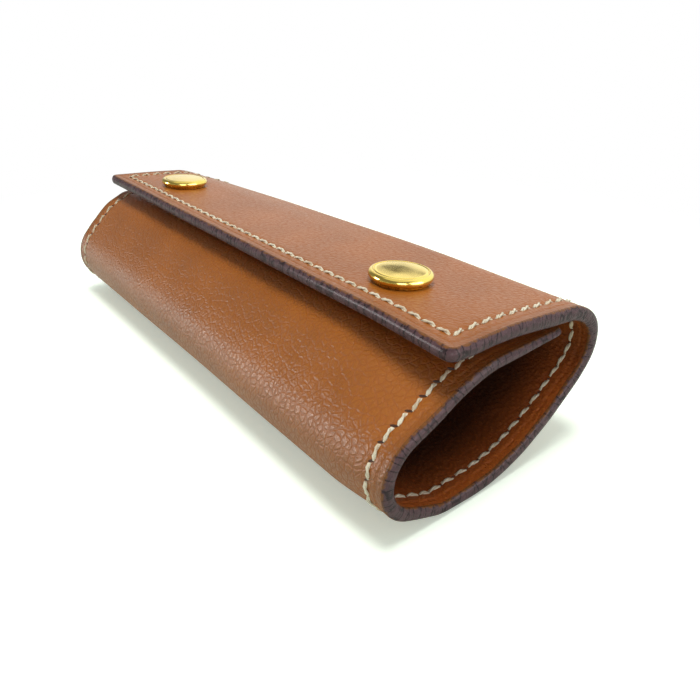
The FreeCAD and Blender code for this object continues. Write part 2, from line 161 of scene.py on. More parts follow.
# Grid steps of the sheets, and the depths at which leather and lining meet
fine_step = 0.42 * mm
coarse_step = 0.7 * mm
lining_step = 0.8 * mm
leather_under = leather + 0.02 * mm
lining_over = leather + 0.03 * mm

# Places along the case, and height above the leather, at which a bend's start and end are measured
bend_columns = 23
bend_margin = 0.1 * mm

# Distance below which two places are the same
tiny = 1e-9


def linear(code):
    """Linear colour of an sRGB hex value."""
    shares = [int(code[i:i + 2], 16) / 255 for i in (1, 3, 5)]
    return [c / 12.92 if c <= 0.04045 else ((c + 0.055) / 1.055) ** 2.4 for c in shares]


def smooth(share):
    """Smooth step of a share, held between 0 and 1."""
    t = np.clip(share, 0, 1)
    return t * t * (3 - 2 * t)


def hump(place, stretch):
    """Share that rises at the beginning of a stretch and falls at its end."""
    begin, rise, end, fall = stretch
    return smooth((place - begin) / rise) * smooth((end - place) / fall)


def bell(distance, width):
    """Share that falls off round a place, as a bell curve of this width."""
    return np.exp(-(distance / width) ** 2 / 2)


def through(line, place):
    """Smooth curve through the points of a line, which has places and values."""
    places, values = line.T
    slopes = np.gradient(values, places)
    i = np.clip(np.searchsorted(places, place, side="right") - 1, 0, len(places) - 2)
    gap = places[i + 1] - places[i]
    t = np.clip((place - places[i]) / gap, 0, 1)
    rise = values[i + 1] - values[i]
    pull = t * (1 - t) * ((1 - t) * (slopes[i] * gap - rise) + t * (rise - slopes[i + 1] * gap))
    return values[i] + t * rise + pull


def colour(name, code, description):
    """Colour property, from its hex value."""
    return FloatVectorProperty(
        name=name, description=description, subtype="COLOR", size=3, min=0, max=1, default=linear(code))


def length(name, millimetres, description):
    """Length property, from millimetres."""
    return FloatProperty(name=name, description=description, unit="LENGTH", default=millimetres * mm)


class KeyCaseSheets(bpy.types.PropertyGroup):
    """Sizes of the leather's relief and of how the worn case has settled"""
    rim_round: length("Rim round", 0.45, "Radius of the cut edges")
    crease_inset: length("Crease inset", 1.55, "Hot creased line from the edge")
    crease_depth: length("Crease depth", 0.10, "Depth of the creased line")
    channel_depth: length("Channel depth", 0.11, "Depth of the channel that the stitches lie in")
    hole_depth: length("Hole depth", 0.13, "Extra depth of the leather at each stitch hole")
    droop: length("Far droop", 2.6, "How far the flap fold has sunk at the far end")
    belly: length("Belly", 0.75, "How far the lower front stands out between the ends")
    bulge: length("Bulge", 2.1, "How far the tuck's upper front stands out, all but at the near end")
    dome: length("Flap dome", 0.2, "How far the flap rises along its middle")


class KeyCaseStitches(bpy.types.PropertyGroup):
    """Sizes of the saddle stitching"""
    inset: length("Inset", 3.25, "Stitch line from the edge")
    pitch: length("Pitch", 2.65, "Distance from one stitch to the next")
    visible: length("Visible length", 2.25, "Length of a stitch that shows")
    thread: length("Thread", 0.7, "Width of the thread")
    twist: FloatProperty(name="Twist", description="Turns of the two plies in one stitch", default=0.75)
    slant: FloatProperty(name="Slant", description="Lean of the stitches at the ends", subtype="ANGLE",
                         default=math.radians(13))
    seed: IntProperty(name="Seed", description="Seed of the small irregularities", default=7)


class KeyCaseFinishes(bpy.types.PropertyGroup):
    """Colours of the leather, thread and metal"""
    calf: colour("Calf", "#945618", "Outer leather")
    lining: colour("Lining", "#B05A20", "Lining leather")
    paint: colour("Edge paint", "#563E42", "Painted edges")
    thread: colour("Thread", "#D8D2BA", "Waxed linen thread")
    gilt: colour("Gilt", "#F8DA70", "Snap caps")
    brass: colour("Brass", "#D8B25C", "Snap and hook fittings")
    steel: colour("Steel", "#B9BABC", "Pins, springs and rivets")
    base: colour("Base", "#7E4520", "Hook base leather")
    grain: length("Grain", 1.1, "Width of one pebble of the leather's grain")


class KeyCaseStage(bpy.types.PropertyGroup):
    """Floor and light"""
    floor: colour("Floor", "#E9F4E6", "Floor colour")
    lamp: FloatProperty(name="Lamp", description="Strength of the main lamp", default=1.0)
    world: FloatProperty(name="World", description="Strength of the even light", default=0.48)


def settings(name):
    """Property group of this name."""
    return getattr(bpy.context.scene, "key_case_" + name)


def tangent_heading(centre_a, radius_a, centre_b, radius_b):
    """Heading of the outer tangent from one clockwise circle to the next."""
    gap = centre_b - centre_a
    turn = math.atan2(gap.y, gap.x) - math.asin((radius_a - radius_b) / gap.length)
    return math.degrees(turn) % 360


class Section:
    """Path of the outer face across the case, from the flap's free edge to the tuck's.

    A stretch has its start along the path, its first point, its heading above +Y and its curvature.
    """

    def __init__(self):
        fold_centre = Vector((fold_side - flap_fold_radius, flap_fold_height))
        tuck_centre = Vector((tuck_side + tuck_fold_radius, tuck_fold_height))
        back_centre = Vector((seat_offset + seat_width / 2, back_radius))
        front_centre = Vector((seat_offset - seat_width / 2, front_radius))
        back_heading = tangent_heading(fold_centre, flap_fold_radius, back_centre, back_radius)
        front_heading = tangent_heading(front_centre, front_radius, tuck_centre, tuck_fold_radius)
        tilt = math.radians(flap_tilt)
        slope = math.radians(tuck_slope)
        flap_length = (fold_centre.x + flap_fold_radius * math.sin(tilt)
                       - flap_setback - tuck_side) / math.cos(tilt)
        fold_top = fold_centre + flap_fold_radius * Vector((math.sin(tilt), math.cos(tilt)))
        edge = fold_top - flap_length * Vector((math.cos(tilt), -math.sin(tilt)))
        tip_y = fold_centre.x - tuck_end_setback
        over_tip = edge.y - (tip_y - edge.x) * math.tan(tilt)
        tuck_level = over_tip - sheet_depth / math.cos(tilt) - tuck_tip_gap
        slope_foot = tuck_centre + tuck_fold_radius * Vector((-math.sin(slope), math.cos(slope)))
        slope_top_y = slope_foot.x + (tuck_level - slope_foot.y) / math.tan(slope)
        bend_y = slope_top_y + tuck_bend_radius * math.tan(slope / 2)
        bend_foot = Vector((bend_y - tuck_bend_radius * math.sin(slope),
                            tuck_level - tuck_bend_radius * (1 - math.cos(slope))))
        back_gap = (back_centre - fold_centre).length
        front_gap = (tuck_centre - front_centre).length
        self.starts, self.points, self.headings, self.curves = [0], [edge], [-tilt], []
        self.lay(flap_length, 0)
        self.fold_from = self.starts[-1]
        self.turn(flap_fold_radius, back_heading - 360)
        self.fold_to = self.starts[-1]
        self.lay(math.sqrt(back_gap ** 2 - (back_radius - flap_fold_radius) ** 2), 0)
        self.turn(back_radius, 180 - 360)
        self.lay(seat_width, 0)
        self.turn(front_radius, front_heading - 360)
        self.lay(math.sqrt(front_gap ** 2 - (front_radius - tuck_fold_radius) ** 2), 0)
        self.tuck_from = self.starts[-1]
        self.turn(tuck_fold_radius, tuck_slope - 360)
        self.tuck_to = self.starts[-1]
        self.lay((bend_foot - slope_foot).length, 0)
        self.turn(tuck_bend_radius, -360)
        self.lay(tip_y - bend_y, 0)
        self.total = self.starts[-1]
        self.starts = np.array(self.starts[:-1])
        self.points = np.array(self.points[:-1])
        self.headings = np.array(self.headings[:-1])
        self.curves = np.array(self.curves)

    def lay(self, run, curve):
        """Add a stretch of this length and curvature, and move to its end."""
        half = curve * run / 2
        chord = run * float(np.sinc(half / math.pi))
        way = self.headings[-1] + half
        self.points.append(self.points[-1] + chord * Vector((math.cos(way), math.sin(way))))
        self.headings.append(self.headings[-1] + 2 * half)
        self.curves.append(curve)
        self.starts.append(self.starts[-1] + run)

    def turn(self, radius, heading_to):
        """Add a clockwise bend up to this heading."""
        self.lay(radius * (self.headings[-1] - math.radians(heading_to)), -1 / radius)

    def line(self, s):
        """Y, Z and heading of the path at these distances along it."""
        i = np.clip(np.searchsorted(self.starts, s, side="right") - 1, 0, len(self.starts) - 1)
        run = s - self.starts[i]
        half = self.curves[i] * run / 2
        chord = run * np.sinc(half / math.pi)
        way = self.headings[i] + half
        y = self.points[i, 0] + chord * np.cos(way)
        z = self.points[i, 1] + chord * np.sin(way)
        return y, z, self.headings[i] + 2 * half

    def bottom(self, s):
        """Depth of the lining's inner face."""
        return np.interp(s, thickness_line[:, 0], thickness_line[:, 1])

    def worn(self, s, x):
        """How far the worn leather stands out: the tuck's upper front bulges all but at the near end,
        its lower front has a belly, the flap is slightly domed, and the near end has its own set."""
        sizes = settings("sheets")
        out = sizes.bulge * hump(s - self.tuck_to, bulge_stretch) * smooth((bulge_end - x) / bulge_fade)
        low = hump(s - self.tuck_from, belly_stretch) * smooth((half_length - x) / belly_fade)
        out = out + sizes.belly * low + sizes.dome * bell(s - dome_place, dome_width)
        set_from = front_set_from + (back_set_from - front_set_from) * hump(s, back_stretch)
        out = out + through(near_set, s) * smooth((x - set_from) / (half_length - set_from))
        ripple = np.sin(x / (9 * mm) + s / (17 * mm)) * np.sin(s / (6 * mm) - x / (23 * mm))
        return out + ripple_depth * ripple

    def at(self, s, x, depth):
        """Points under the outer face of the worn case, whose flap fold has sunk at the far end."""
        s, x, depth = np.broadcast_arrays(s, x, depth)
        y, z, way = self.line(s)
        out = self.worn(s, x) - depth
        y = y - np.sin(way) * out
        z = z + np.cos(way) * out
        sunk = np.clip((droop_from - x) / droop_run, 0, droop_most) ** droop_power
        sunk = sunk * smooth((y - droop_side) / droop_blend) * smooth((z - droop_height) / droop_blend)
        return np.stack([x, y, z - settings("sheets").droop * sunk], axis=-1)

    def facing(self, s, x):
        """Outward normals of the outer face."""
        step = 0.05 * mm
        along = self.at(s + step, x, 0) - self.at(s - step, x, 0)
        across = self.at(s, x + step, 0) - self.at(s, x - step, 0)
        normal = np.cross(across, along)
        return normal / np.linalg.norm(normal, axis=-1, keepdims=True)

    def rim(self, s, x):
        """Distance from the cut edge, with the corners rounded."""
        from_end = half_length - np.abs(x)
        from_side = np.minimum(s, self.total - s)
        corner = corner_radius - np.hypot(corner_radius - from_end, corner_radius - from_side)
        in_corner = (from_end < corner_radius) & (from_side < corner_radius)
        return np.where(in_corner, corner, np.minimum(from_end, from_side))


section = Section()
fold_middle = (section.fold_from + section.fold_to) / 2
tuck_middle = (section.tuck_from + section.tuck_to) / 2

# Stretches of the folded sheet, each on one body or lying across the fold between two, and the nodes they
# stand for
Zone = namedtuple("Zone", "begin end bodies node")
zones = {
    "flap": Zone(0, section.fold_from, ["flap"], "flap"),
    "flap_fold_upper": Zone(section.fold_from, fold_middle, ["flap", "flap_spine"], "flap_fold"),
    "flap_fold_lower": Zone(fold_middle, section.fold_to, ["flap_spine", "case_back"], "flap_fold"),
    "back": Zone(section.fold_to, section.tuck_from, ["case_back"], "back"),
    "tuck_fold_lower": Zone(section.tuck_from, tuck_middle, ["case_back", "tuck_spine"], "tuck_fold"),
    "tuck_fold_upper": Zone(tuck_middle, section.tuck_to, ["tuck_spine", "tuck"], "tuck_fold"),
    "tuck": Zone(section.tuck_to, section.total, ["tuck"], "tuck"),
}
snap_places = {side: (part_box(side + "_snap_cap")[0].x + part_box(side + "_snap_cap")[1].x) / 2
               for side in ("near", "far")}


def attach(piece, zone):
    """Let a piece of a zone ride on its body; a piece that lies between two bodies only has its transform
    baked into its mesh.
    """
    begin, end, bodies, _ = zone
    if len(bodies) == 1:
        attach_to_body(piece, bodies[0])
        return
    x = np.linspace(-half_length, half_length, bend_columns)[:, None]
    depth = np.array([-bend_margin, sheet_depth])
    first = section.at(begin, x, depth).reshape(-1, 3)
    last = section.at(end, x, depth).reshape(-1, 3)
    origin = section.at(begin, 0, 0)
    chord = section.at(end, 0, 0) - origin
    chord = chord / np.linalg.norm(chord)
    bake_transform(piece)


def fill(tree, node, inputs):
    """Set or link the inputs of a node, given by name or number."""
    for place, value in inputs.items():
        socket = node.inputs[place]
        if isinstance(value, bpy.types.NodeSocket):
            tree.links.new(value, socket)
        else:
            socket.default_value = value


def add(tree, kind, inputs=None, **options):
    """Add a node with its options and inputs."""
    node = tree.nodes.new(kind)
    for option, value in options.items():
        setattr(node, option, value)
    fill(tree, node, inputs or {})
    return node


def made(tree, kind, inputs=None, **options):
    """First output of a new node."""
    return add(tree, kind, inputs, **options).outputs[0]


def reckon(tree, operation, *values):
    """Result of a sum on up to three values."""
    return made(tree, "ShaderNodeMath", dict(enumerate(values)), operation=operation)


def ranged(tree, value, low, high, start=0.0, stop=1.0, kind="LINEAR"):
    """Output that goes from start to stop while a value goes from low to high."""
    return made(tree, "ShaderNodeMapRange", {0: value, 1: low, 2: high, 3: start, 4: stop},
                interpolation_type=kind)


def eased(tree, value, low, high, start=0.0, stop=1.0):
    """The same with soft ends."""
    return ranged(tree, value, low, high, start, stop, "SMOOTHSTEP")


def mixed(tree, share, first, second):
    """Colour between two colours."""
    return add(tree, "ShaderNodeMix", {0: share, 6: first, 7: second}, data_type="RGBA").outputs[2]


def noise(tree, place, width, detail, dimensions="2D", **more):
    """Outputs of a noise with blotches of about this width."""
    return add(tree, "ShaderNodeTexNoise", {"Vector": place, "Scale": 1 / width, "Detail": detail, **more},
               noise_dimensions=dimensions).outputs


def cells(tree, place, width, feature, **more):
    """Distance in a pattern of cells of about this width."""
    return add(tree, "ShaderNodeTexVoronoi", {"Vector": place, "Scale": 1 / width, **more},
               feature=feature, voronoi_dimensions="2D").outputs["Distance"]


def slanted(tree, place, degrees, stretch):
    """Place in a pattern that is turned and drawn out."""
    return made(tree, "ShaderNodeMapping", {"Vector": place, "Rotation": (0, 0, math.radians(degrees)),
                "Scale": stretch}, vector_type="TEXTURE")


def bump(tree, height, strength, depth):
    """Normal of a surface with this relief."""
    return made(tree, "ShaderNodeBump", {"Height": height, "Strength": strength, "Distance": depth})


def split(tree, place):
    """The three shares of a place."""
    return add(tree, "ShaderNodeSeparateXYZ", {0: place}).outputs


def sheet_place(tree):
    """Place in the flat sheet: across the case, then along it."""
    return made(tree, "ShaderNodeUVMap", uv_map="sheet")


def object_place(tree):
    """Place in the piece, in metres."""
    return add(tree, "ShaderNodeTexCoord").outputs["Object"]


def rim_distance(tree):
    """Distance from the sheet's cut edge."""
    return add(tree, "ShaderNodeAttribute", attribute_name="rim").outputs["Fac"]


def empty_tree(owner):
    """Cleared node tree of a material or world."""
    owner.use_nodes = True
    owner.node_tree.nodes.clear()
    return owner.node_tree


def named_material(name, build, *values):
    """Material of this name. On its first use, build gives the inputs of its shader."""
    if name not in bpy.data.materials:
        tree = empty_tree(bpy.data.materials.new(name))
        shader = add(tree, "ShaderNodeBsdfPrincipled")
        add(tree, "ShaderNodeOutputMaterial", {"Surface": shader.outputs["BSDF"]})
        fill(tree, shader, build(tree, *values))
    return bpy.data.materials[name]


def opaque(code):
    """A colour for a socket, from its hex value."""
    return linear(code) + [1]


def shade(tint, share):
    """A colour for a socket, at a share of this tint's brightness."""
    return [channel * share for channel in tint] + [1]


def cloudy_dye(tree, cloud, tint):
    """Dyed colour, which drifts a little with a cloud pattern."""
    return mixed(tree, ranged(tree, cloud, 0.3, 0.7), shade(tint, 0.9), shade(tint, 1.1))


def grained_calf(tree):
    """Waxed calf with a pressed grain that breaks up the shine: pebbles in slanting rows on the front
    and slanting streaks on the flap, warmer valleys, a cloudy tan dye, a browner burnished border."""
    finish = settings("finishes")
    place = sheet_place(tree)
    drift = noise(tree, place, 2.2 * mm, 2.0)["Color"]
    shift = made(tree, "ShaderNodeVectorMath", {0: drift, 1: (0.5, 0.5, 0.5)}, operation="SUBTRACT")
    bent = made(tree, "ShaderNodeVectorMath", {0: shift, 1: (0.9 * mm, 0.9 * mm, 0), 2: place},
                operation="MULTIPLY_ADD")
    pebble_rows = slanted(tree, bent, 25, (1.15, 0.9, 1.0))
    pebble = cells(tree, pebble_rows, finish.grain, "DISTANCE_TO_EDGE", Randomness=0.8)
    crown = eased(tree, pebble, 0.0, 0.22)
    front = ranged(tree, split(tree, place)["X"], section.fold_to, section.tuck_from)
    streaks = slanted(tree, bent, 38, (1.8, 0.85, 1.0))
    drawn = add(tree, "ShaderNodeMix", {0: front, 4: streaks, 5: place}, data_type="VECTOR").outputs[1]
    wrinkles = noise(tree, drawn, 0.4 * mm, 2.0)["Fac"]
    in_groove = ranged(tree, front, 0, 1, 0.8, 0.3)
    on_top = ranged(tree, front, 0, 1, 1.0, 0.7)
    fine = reckon(tree, "MULTIPLY", wrinkles, ranged(tree, crown, 0, 1, in_groove, on_top))
    raised = ranged(tree, front, 0, 1, 0.06, 0.18)
    height = reckon(tree, "MULTIPLY_ADD", crown, raised, fine)
    cloud = noise(tree, place, 11 * mm, 4.0)["Fac"]
    valley = ranged(tree, height, 0.3, 0.62, 0.4, 0.0)
    deep = mixed(tree, valley, cloudy_dye(tree, cloud, finish.calf), opaque("#8A460E"))
    burnish = ranged(tree, rim_distance(tree), 0.3 * mm, 2.4 * mm, 0.5, 0.0)
    return {
        "Base Color": mixed(tree, burnish, deep, shade(finish.calf, 0.5)),
        "Roughness": ranged(tree, height, 0.25, 0.75, 0.5, 0.28),
        "Normal": bump(tree, height, 1.0, 0.13 * mm),
        "Specular IOR Level": 0.44,
    }


def lining_calf(tree):
    """Lining calf: close pores and a soft shine, tan at the rim. Further in, and inside the flap fold,
    painted shade darkens it to dark brown; on the flap the painted shade is weaker."""
    tint = settings("finishes").lining
    fold_from, fold_to = section.fold_from, section.fold_to
    place = sheet_place(tree)
    rim = rim_distance(tree)
    pores = noise(tree, place, 0.35 * mm, 4.0)["Fac"]
    grain = cells(tree, place, 0.7 * mm, "SMOOTH_F1", Smoothness=0.3)
    height = reckon(tree, "MULTIPLY_ADD", grain, -1.0, pores)
    cloud = noise(tree, place, 5 * mm, 4.0)["Fac"]
    # Painted shade: from a ragged line near the rim inwards the lining is darkened towards a tenth of its
    # tint, for the shade inside the case; on the flap only at 0.4 strength
    reach = reckon(tree, "MULTIPLY_ADD", cloud, 3 * mm, rim)
    deep = eased(tree, reach, 0.5 * mm, 12.5 * mm)
    across = split(tree, place)["X"]
    shut_in = eased(tree, across, fold_from - 18 * mm, fold_from + 4 * mm, 0.4)
    deep_shade = reckon(tree, "MULTIPLY", deep, shut_in)
    # Painted shade in the flap fold as well, at half strength, for the deep shade inside the fold
    in_fold = eased(tree, across, fold_from - 3 * mm, fold_from + 4 * mm, 0.0, 0.5)
    past_fold = eased(tree, across, fold_to - 6 * mm, fold_to + 6 * mm, 1.0, 0.0)
    painted_shade = reckon(tree, "MAXIMUM", deep_shade, reckon(tree, "MULTIPLY", in_fold, past_fold))
    inside = mixed(tree, painted_shade, cloudy_dye(tree, cloud, tint), shade(tint, 0.1))
    # Golden fibre specks on the nap's tops, which also stand for glints on the lit lip: partly a painted
    # highlight, fading where the shade is painted
    nap = ranged(tree, height, 0.12, 0.4, 0.0, 0.3)
    unshaded = ranged(tree, painted_shade, 0, 1, 1.0, 0.12)
    golden = mixed(tree, reckon(tree, "MULTIPLY", nap, unshaded), inside, opaque("#C0701E"))
    burnish = ranged(tree, rim, 0.4 * mm, 1.6 * mm, 0.5, 0.0)
    return {
        "Base Color": mixed(tree, burnish, golden, shade(tint, 0.4)),
        "Roughness": 0.5,
        "Normal": bump(tree, height, 0.9, 0.14 * mm),
        "Specular IOR Level": 0.2,
    }


def edge_paint(tree):
    """Acrylic edge paint: thick and half glossy, mottled plum grey, with short cracks across the edge
    and brown leather rubbed bare along its rims."""
    tint = settings("finishes").paint
    place = sheet_place(tree)
    drawn = made(tree, "ShaderNodeMapping", {"Vector": place, "Scale": (0.55, 1.2, 1)})
    lumps = noise(tree, drawn, 0.6 * mm, 5.0, Roughness=0.65)["Fac"]
    long_way = made(tree, "ShaderNodeMapping", {"Vector": place, "Scale": (1, 0.3, 1)})
    cracks = cells(tree, long_way, 1.3 * mm, "DISTANCE_TO_EDGE")
    unbroken = eased(tree, reckon(tree, "MULTIPLY_ADD", lumps, 0.16, cracks), 0.085, 0.17)
    height = reckon(tree, "MULTIPLY_ADD", unbroken, 0.35, lumps)
    mottled = mixed(tree, ranged(tree, lumps, 0.38, 0.62), shade(tint, 0.75), shade(tint, 1.15))
    cracked = mixed(tree, unbroken, shade(tint, 0.3), mottled)
    ragged = reckon(tree, "MULTIPLY_ADD", lumps, -0.8 * mm, split(tree, place)["Y"])
    rubbed = ranged(tree, ragged, -0.42 * mm, -0.26 * mm, 0.9, 0.0)
    return {
        "Base Color": mixed(tree, rubbed, cracked, opaque("#74481C")),
        "Roughness": 0.45,
        "Normal": bump(tree, height, 1.0, 0.22 * mm),
        "Specular IOR Level": 0.1,
        "Coat Weight": 0.15,
        "Coat Roughness": 0.18,
    }


def waxed_linen(tree):
    """Waxed linen thread: cream, slightly soiled, more so at the far end, with a soft waxy sheen."""
    place = object_place(tree)
    soil = noise(tree, place, 3 * mm, 3.0, "3D")["Fac"]
    handled = ranged(tree, split(tree, place)["X"], -30 * mm, -52 * mm, 0.0, 0.45)
    amount = ranged(tree, soil, 0.35, 0.75, handled, 0.6)
    cream = shade(settings("finishes").thread, 1.0)
    return {"Base Color": mixed(tree, amount, cream, opaque("#A58860")), "Roughness": 0.55}


def painted_slit_shade(tree):
    """Painted shade of an awl slit: a dark lens that stands for the shade inside a slanted hole in the
    leather.
    """
    mottle = noise(tree, object_place(tree), 0.5 * mm, 2.0, "3D")["Fac"]
    return {"Base Color": mixed(tree, mottle, opaque("#2A1408"), opaque("#4A2610")), "Roughness": 0.8}


def sole_leather(tree):
    """Firm sole leather: smooth, dull, with a faint close grain."""
    tint = settings("finishes").base
    grain = noise(tree, object_place(tree), 0.4 * mm, 4.0, "3D")["Fac"]
    return {
        "Base Color": mixed(tree, grain, shade(tint, 0.75), shade(tint, 1.2)),
        "Roughness": 0.6,
        "Normal": bump(tree, grain, 0.5, 0.05 * mm),
    }


def metal(tree, tint, roughness, scratch):
    """Plated metal: a mirror broken by fine hairline wear and faint cloudy tarnish."""
    place = object_place(tree)
    wear = noise(tree, place, scratch, 5.0, "3D")["Fac"]
    haze = noise(tree, place, 2.5 * mm, 3.0, "3D")["Fac"]
    return {
        "Base Color": mixed(tree, haze, shade(tint, 1.05), shade(tint, 0.8)),
        "Roughness": ranged(tree, haze, 0.3, 0.75, roughness * 0.7, roughness * 1.7),
        "Normal": bump(tree, wear, 0.12, 0.02 * mm),
        "Metallic": 1.0,
    }


def new_piece(name, mesh, *materials):
    """New object in the scene, with its materials."""
    piece = bpy.data.objects.new(name, mesh)
    bpy.context.scene.collection.objects.link(piece)
    for material in materials:
        mesh.materials.append(material)
    return piece


def mesh_from(form, name):
    """Mesh of a form, which is freed."""
    mesh = bpy.data.meshes.new(name)
    form.to_mesh(mesh)
    form.free()
    return mesh


def shaped(piece):
    """New mesh of a piece, as its modifiers shape it."""
    graph = bpy.context.evaluated_depsgraph_get()
    return bpy.data.meshes.new_from_object(piece.evaluated_get(graph))


def finish_mesh(mesh, sharp):
    """Smooth shading with edges sharper than this angle kept."""
    mesh.validate()
    mesh.shade_smooth()
    mesh.set_sharp_from_angle(angle=math.radians(sharp))
    mesh.update()


def write_sheet_data(mesh, s, x, rim):
    """Store the flat sheet's coordinates as the UV map, and the distance from the edge."""
    corner_of = np.zeros(len(mesh.loops), np.int32)
    mesh.loops.foreach_get("vertex_index", corner_of)
    layer = mesh.uv_layers.new(name="sheet")
    layer.uv.foreach_set("vector", np.stack([s, x], axis=1)[corner_of].astype(np.float32).ravel())
    mesh.attributes.new("rim", "FLOAT", "POINT").data.foreach_set("value", rim.astype(np.float32))


def sheet_mesh(name, s, x, top, bottom):
    """Closed sheet between two grids of points, rows along S and columns along X."""
    rows, columns = s.shape
    count = rows * columns
    index = np.arange(count).reshape(rows, columns)
    a, b = index[:-1, :-1], index[:-1, 1:]
    c, d = index[1:, 1:], index[1:, :-1]
    face_up = np.stack([a, b, c, d], axis=-1).reshape(-1, 4)
    face_down = face_up[:, ::-1] + count
    loop = np.concatenate([index[0, :-1], index[:-1, -1], index[-1, :0:-1], index[:0:-1, 0]])
    after = np.roll(loop, -1)
    wall = np.stack([loop, loop + count, after + count, after], axis=1)
    mesh = bpy.data.meshes.new(name)
    points = np.concatenate([top.reshape(-1, 3), bottom.reshape(-1, 3)])
    mesh.from_pydata(points.tolist(), [], np.concatenate([face_up, face_down, wall]).tolist())
    flat_s = np.tile(s.ravel(), 2)
    flat_x = np.tile(x.ravel(), 2)
    write_sheet_data(mesh, flat_s, flat_x, section.rim(flat_s, flat_x))
    return mesh


# Distances from an edge at which the grid has a line, so that its crease and channel are shaped
edge_lines = np.array([0.15, 0.28, 0.4, 0.55, 0.75, 1.0, 1.2, 1.35, 1.45, 1.55, 1.65, 1.75, 1.9, 2.1,
                       2.4, 2.7, 2.9, 3.05, 3.2, 3.35, 3.5, 3.7, 4.0, 4.4, 5.0, 5.7]) * mm

# The same, from the line where one zone goes over into the next
bend_lines = np.array([0, 0.1, 0.25]) * mm


def spread(begin, end, step, free_begin=False, free_end=False):
    """Grid lines between two places, drawn together at the free edges."""
    first = begin + (edge_lines if free_begin else bend_lines)
    last = end - (edge_lines if free_end else bend_lines)[::-1]
    count = max(2, round((last[0] - first[-1]) / step))
    return np.concatenate([first, np.linspace(first[-1], last[0], count + 1)[1:-1], last])


def sheet_grid(begin, end, step):
    """Rows and columns of a zone, drawn in at the rounded free corners."""
    rows = spread(begin, end, step, begin == 0, end == section.total)
    columns = spread(-half_length, half_length, step, True, True)
    inset = edge_lines[0]
    radius = corner_radius - inset
    from_side = np.minimum(np.minimum(rows, section.total - rows) - inset, radius)
    reach = half_length - inset - radius + np.sqrt(radius ** 2 - (radius - from_side) ** 2)
    x = columns[None, :] * (reach / (half_length - inset))[:, None]
    return np.broadcast_to(rows[:, None], x.shape), x


def row_pitch(span):
    """Pitch that fits a whole number of stitches into a row of this length."""
    return span / round(span / settings("stitches").pitch)


def rim_fall(rim):
    """Depth of the rounding at a distance from the cut edge."""
    radius = settings("sheets").rim_round
    return radius - np.sqrt(radius ** 2 - np.clip(radius - rim, 0, radius) ** 2)


def edge_relief(s, x):
    """Depth of an edge's rounding, crease, stitch channel and stitch holes."""
    sizes = settings("sheets")
    inset = settings("stitches").inset
    rim = section.rim(s, x)
    depth = rim_fall(rim) + sizes.crease_depth * bell(rim - sizes.crease_inset, crease_width)
    depth = depth + sizes.channel_depth * bell(rim - inset, channel_width)
    end_row = np.abs(half_length - np.abs(x) - rim) < tiny
    place = np.where(end_row, (s - inset) / row_pitch(section.total - 2 * inset),
                     (x + half_length - inset) / row_pitch(2 * (half_length - inset)))
    off_hole = np.abs(place - np.round(place)) * settings("stitches").pitch
    return depth + sizes.hole_depth * bell(np.hypot(off_hole, rim - inset), hole_width)


def press(s, x, place, inner, outer, depth):
    """Depth of the leather pressed in under the snaps."""
    total = 0
    for snap_x in snap_places.values():
        radius = np.hypot(s - place, x - snap_x)
        total = total + depth * smooth((outer - radius) / (outer - inner))
    return total


stud_place = section.total - (fold_side - flap_fold_radius - tuck_end_setback
                              - float(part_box("near_snap_stud")[0].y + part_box("near_snap_stud")[1].y) / 2)

# Leather pressed in under the caps and round the studs: place, inner and outer radius, depth
presses = (
    (snap_edge_setback, 4.9 * mm, 6.2 * mm, 0.07 * mm),
    (stud_place, 2.4 * mm, 3.4 * mm, 0.08 * mm),
)


class KEYCASE_OT_outer_leather(bpy.types.Operator):
    """Build the grained outer leather, one closed sheet for each zone"""
    bl_idname = "keycase.outer_leather"
    bl_label = "Outer leather"

    def execute(self, context):
        for name, zone in zones.items():
            s, x = sheet_grid(zone.begin, zone.end, fine_step if name in ("flap", "tuck") else coarse_step)
            depth = edge_relief(s, x)
            for mark in presses:
                depth = depth + press(s, x, *mark)
            top = section.at(s, x, depth)
            mesh = sheet_mesh(name + "_outer", s, x, top, section.at(s, x, leather_under))
            finish_mesh(mesh, sharp=50)
            piece = new_piece(name + "_outer", mesh, named_material("Grained calf", grained_calf))
            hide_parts(zone.node + "_leather")
            attach(piece, zone)
        return {"FINISHED"}


class KEYCASE_OT_lining(bpy.types.Operator):
    """Build the lining, one closed sheet for each zone, with holes for the snap sockets"""
    bl_idname = "keycase.lining"
    bl_label = "Lining"
    cutter_sides = 72
    cutter_depth = 6 * mm

    def execute(self, context):
        for name, zone in zones.items():
            s, x = sheet_grid(zone.begin, zone.end, lining_step)
            bottom = section.at(s, x, section.bottom(s) - lining_round * edge_relief(s, x))
            mesh = sheet_mesh(name + "_inner", s, x, section.at(s, x, lining_over), bottom)
            finish_mesh(mesh, sharp=50)
            piece = new_piece(name + "_inner", mesh, named_material("Lining calf", lining_calf))
            if name == "flap":
                self.cut_sockets(piece)
            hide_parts(zone.node + "_lining")
            attach(piece, zone)
        return {"FINISHED"}

    def cut_sockets(self, piece):
        """Cut the round holes that the snap sockets sit in."""
        for x in snap_places.values():
            form = bmesh.new()
            bmesh.ops.create_cone(form, cap_ends=True, segments=self.cutter_sides, radius1=socket_radius,
                                  radius2=socket_radius, depth=self.cutter_depth)
            form.transform(snap_matrix(x))
            cutter = new_piece("socket_cutter", mesh_from(form, "socket_cutter"))
            cut = piece.modifiers.new("socket hole", "BOOLEAN")
            cut.operation = "DIFFERENCE"
            cut.solver = "EXACT"
            cut.object = cutter
            result = shaped(piece)
            piece.modifiers.clear()
            piece.data = result
            bpy.data.objects.remove(cutter)


def snap_matrix(x):
    """Place and tilt of a snap on the flap, with the case's worn set."""
    place = Vector(section.at(np.array(snap_edge_setback), np.array(x), np.array(0.0)))
    normal = Vector(section.facing(np.array(snap_edge_setback), np.array(x)))
    along = (Vector((1, 0, 0)) - normal * normal.x).normalized()
    turn = Matrix((along, normal.cross(along), normal)).transposed()
    return Matrix.Translation(place) @ turn.to_4x4()


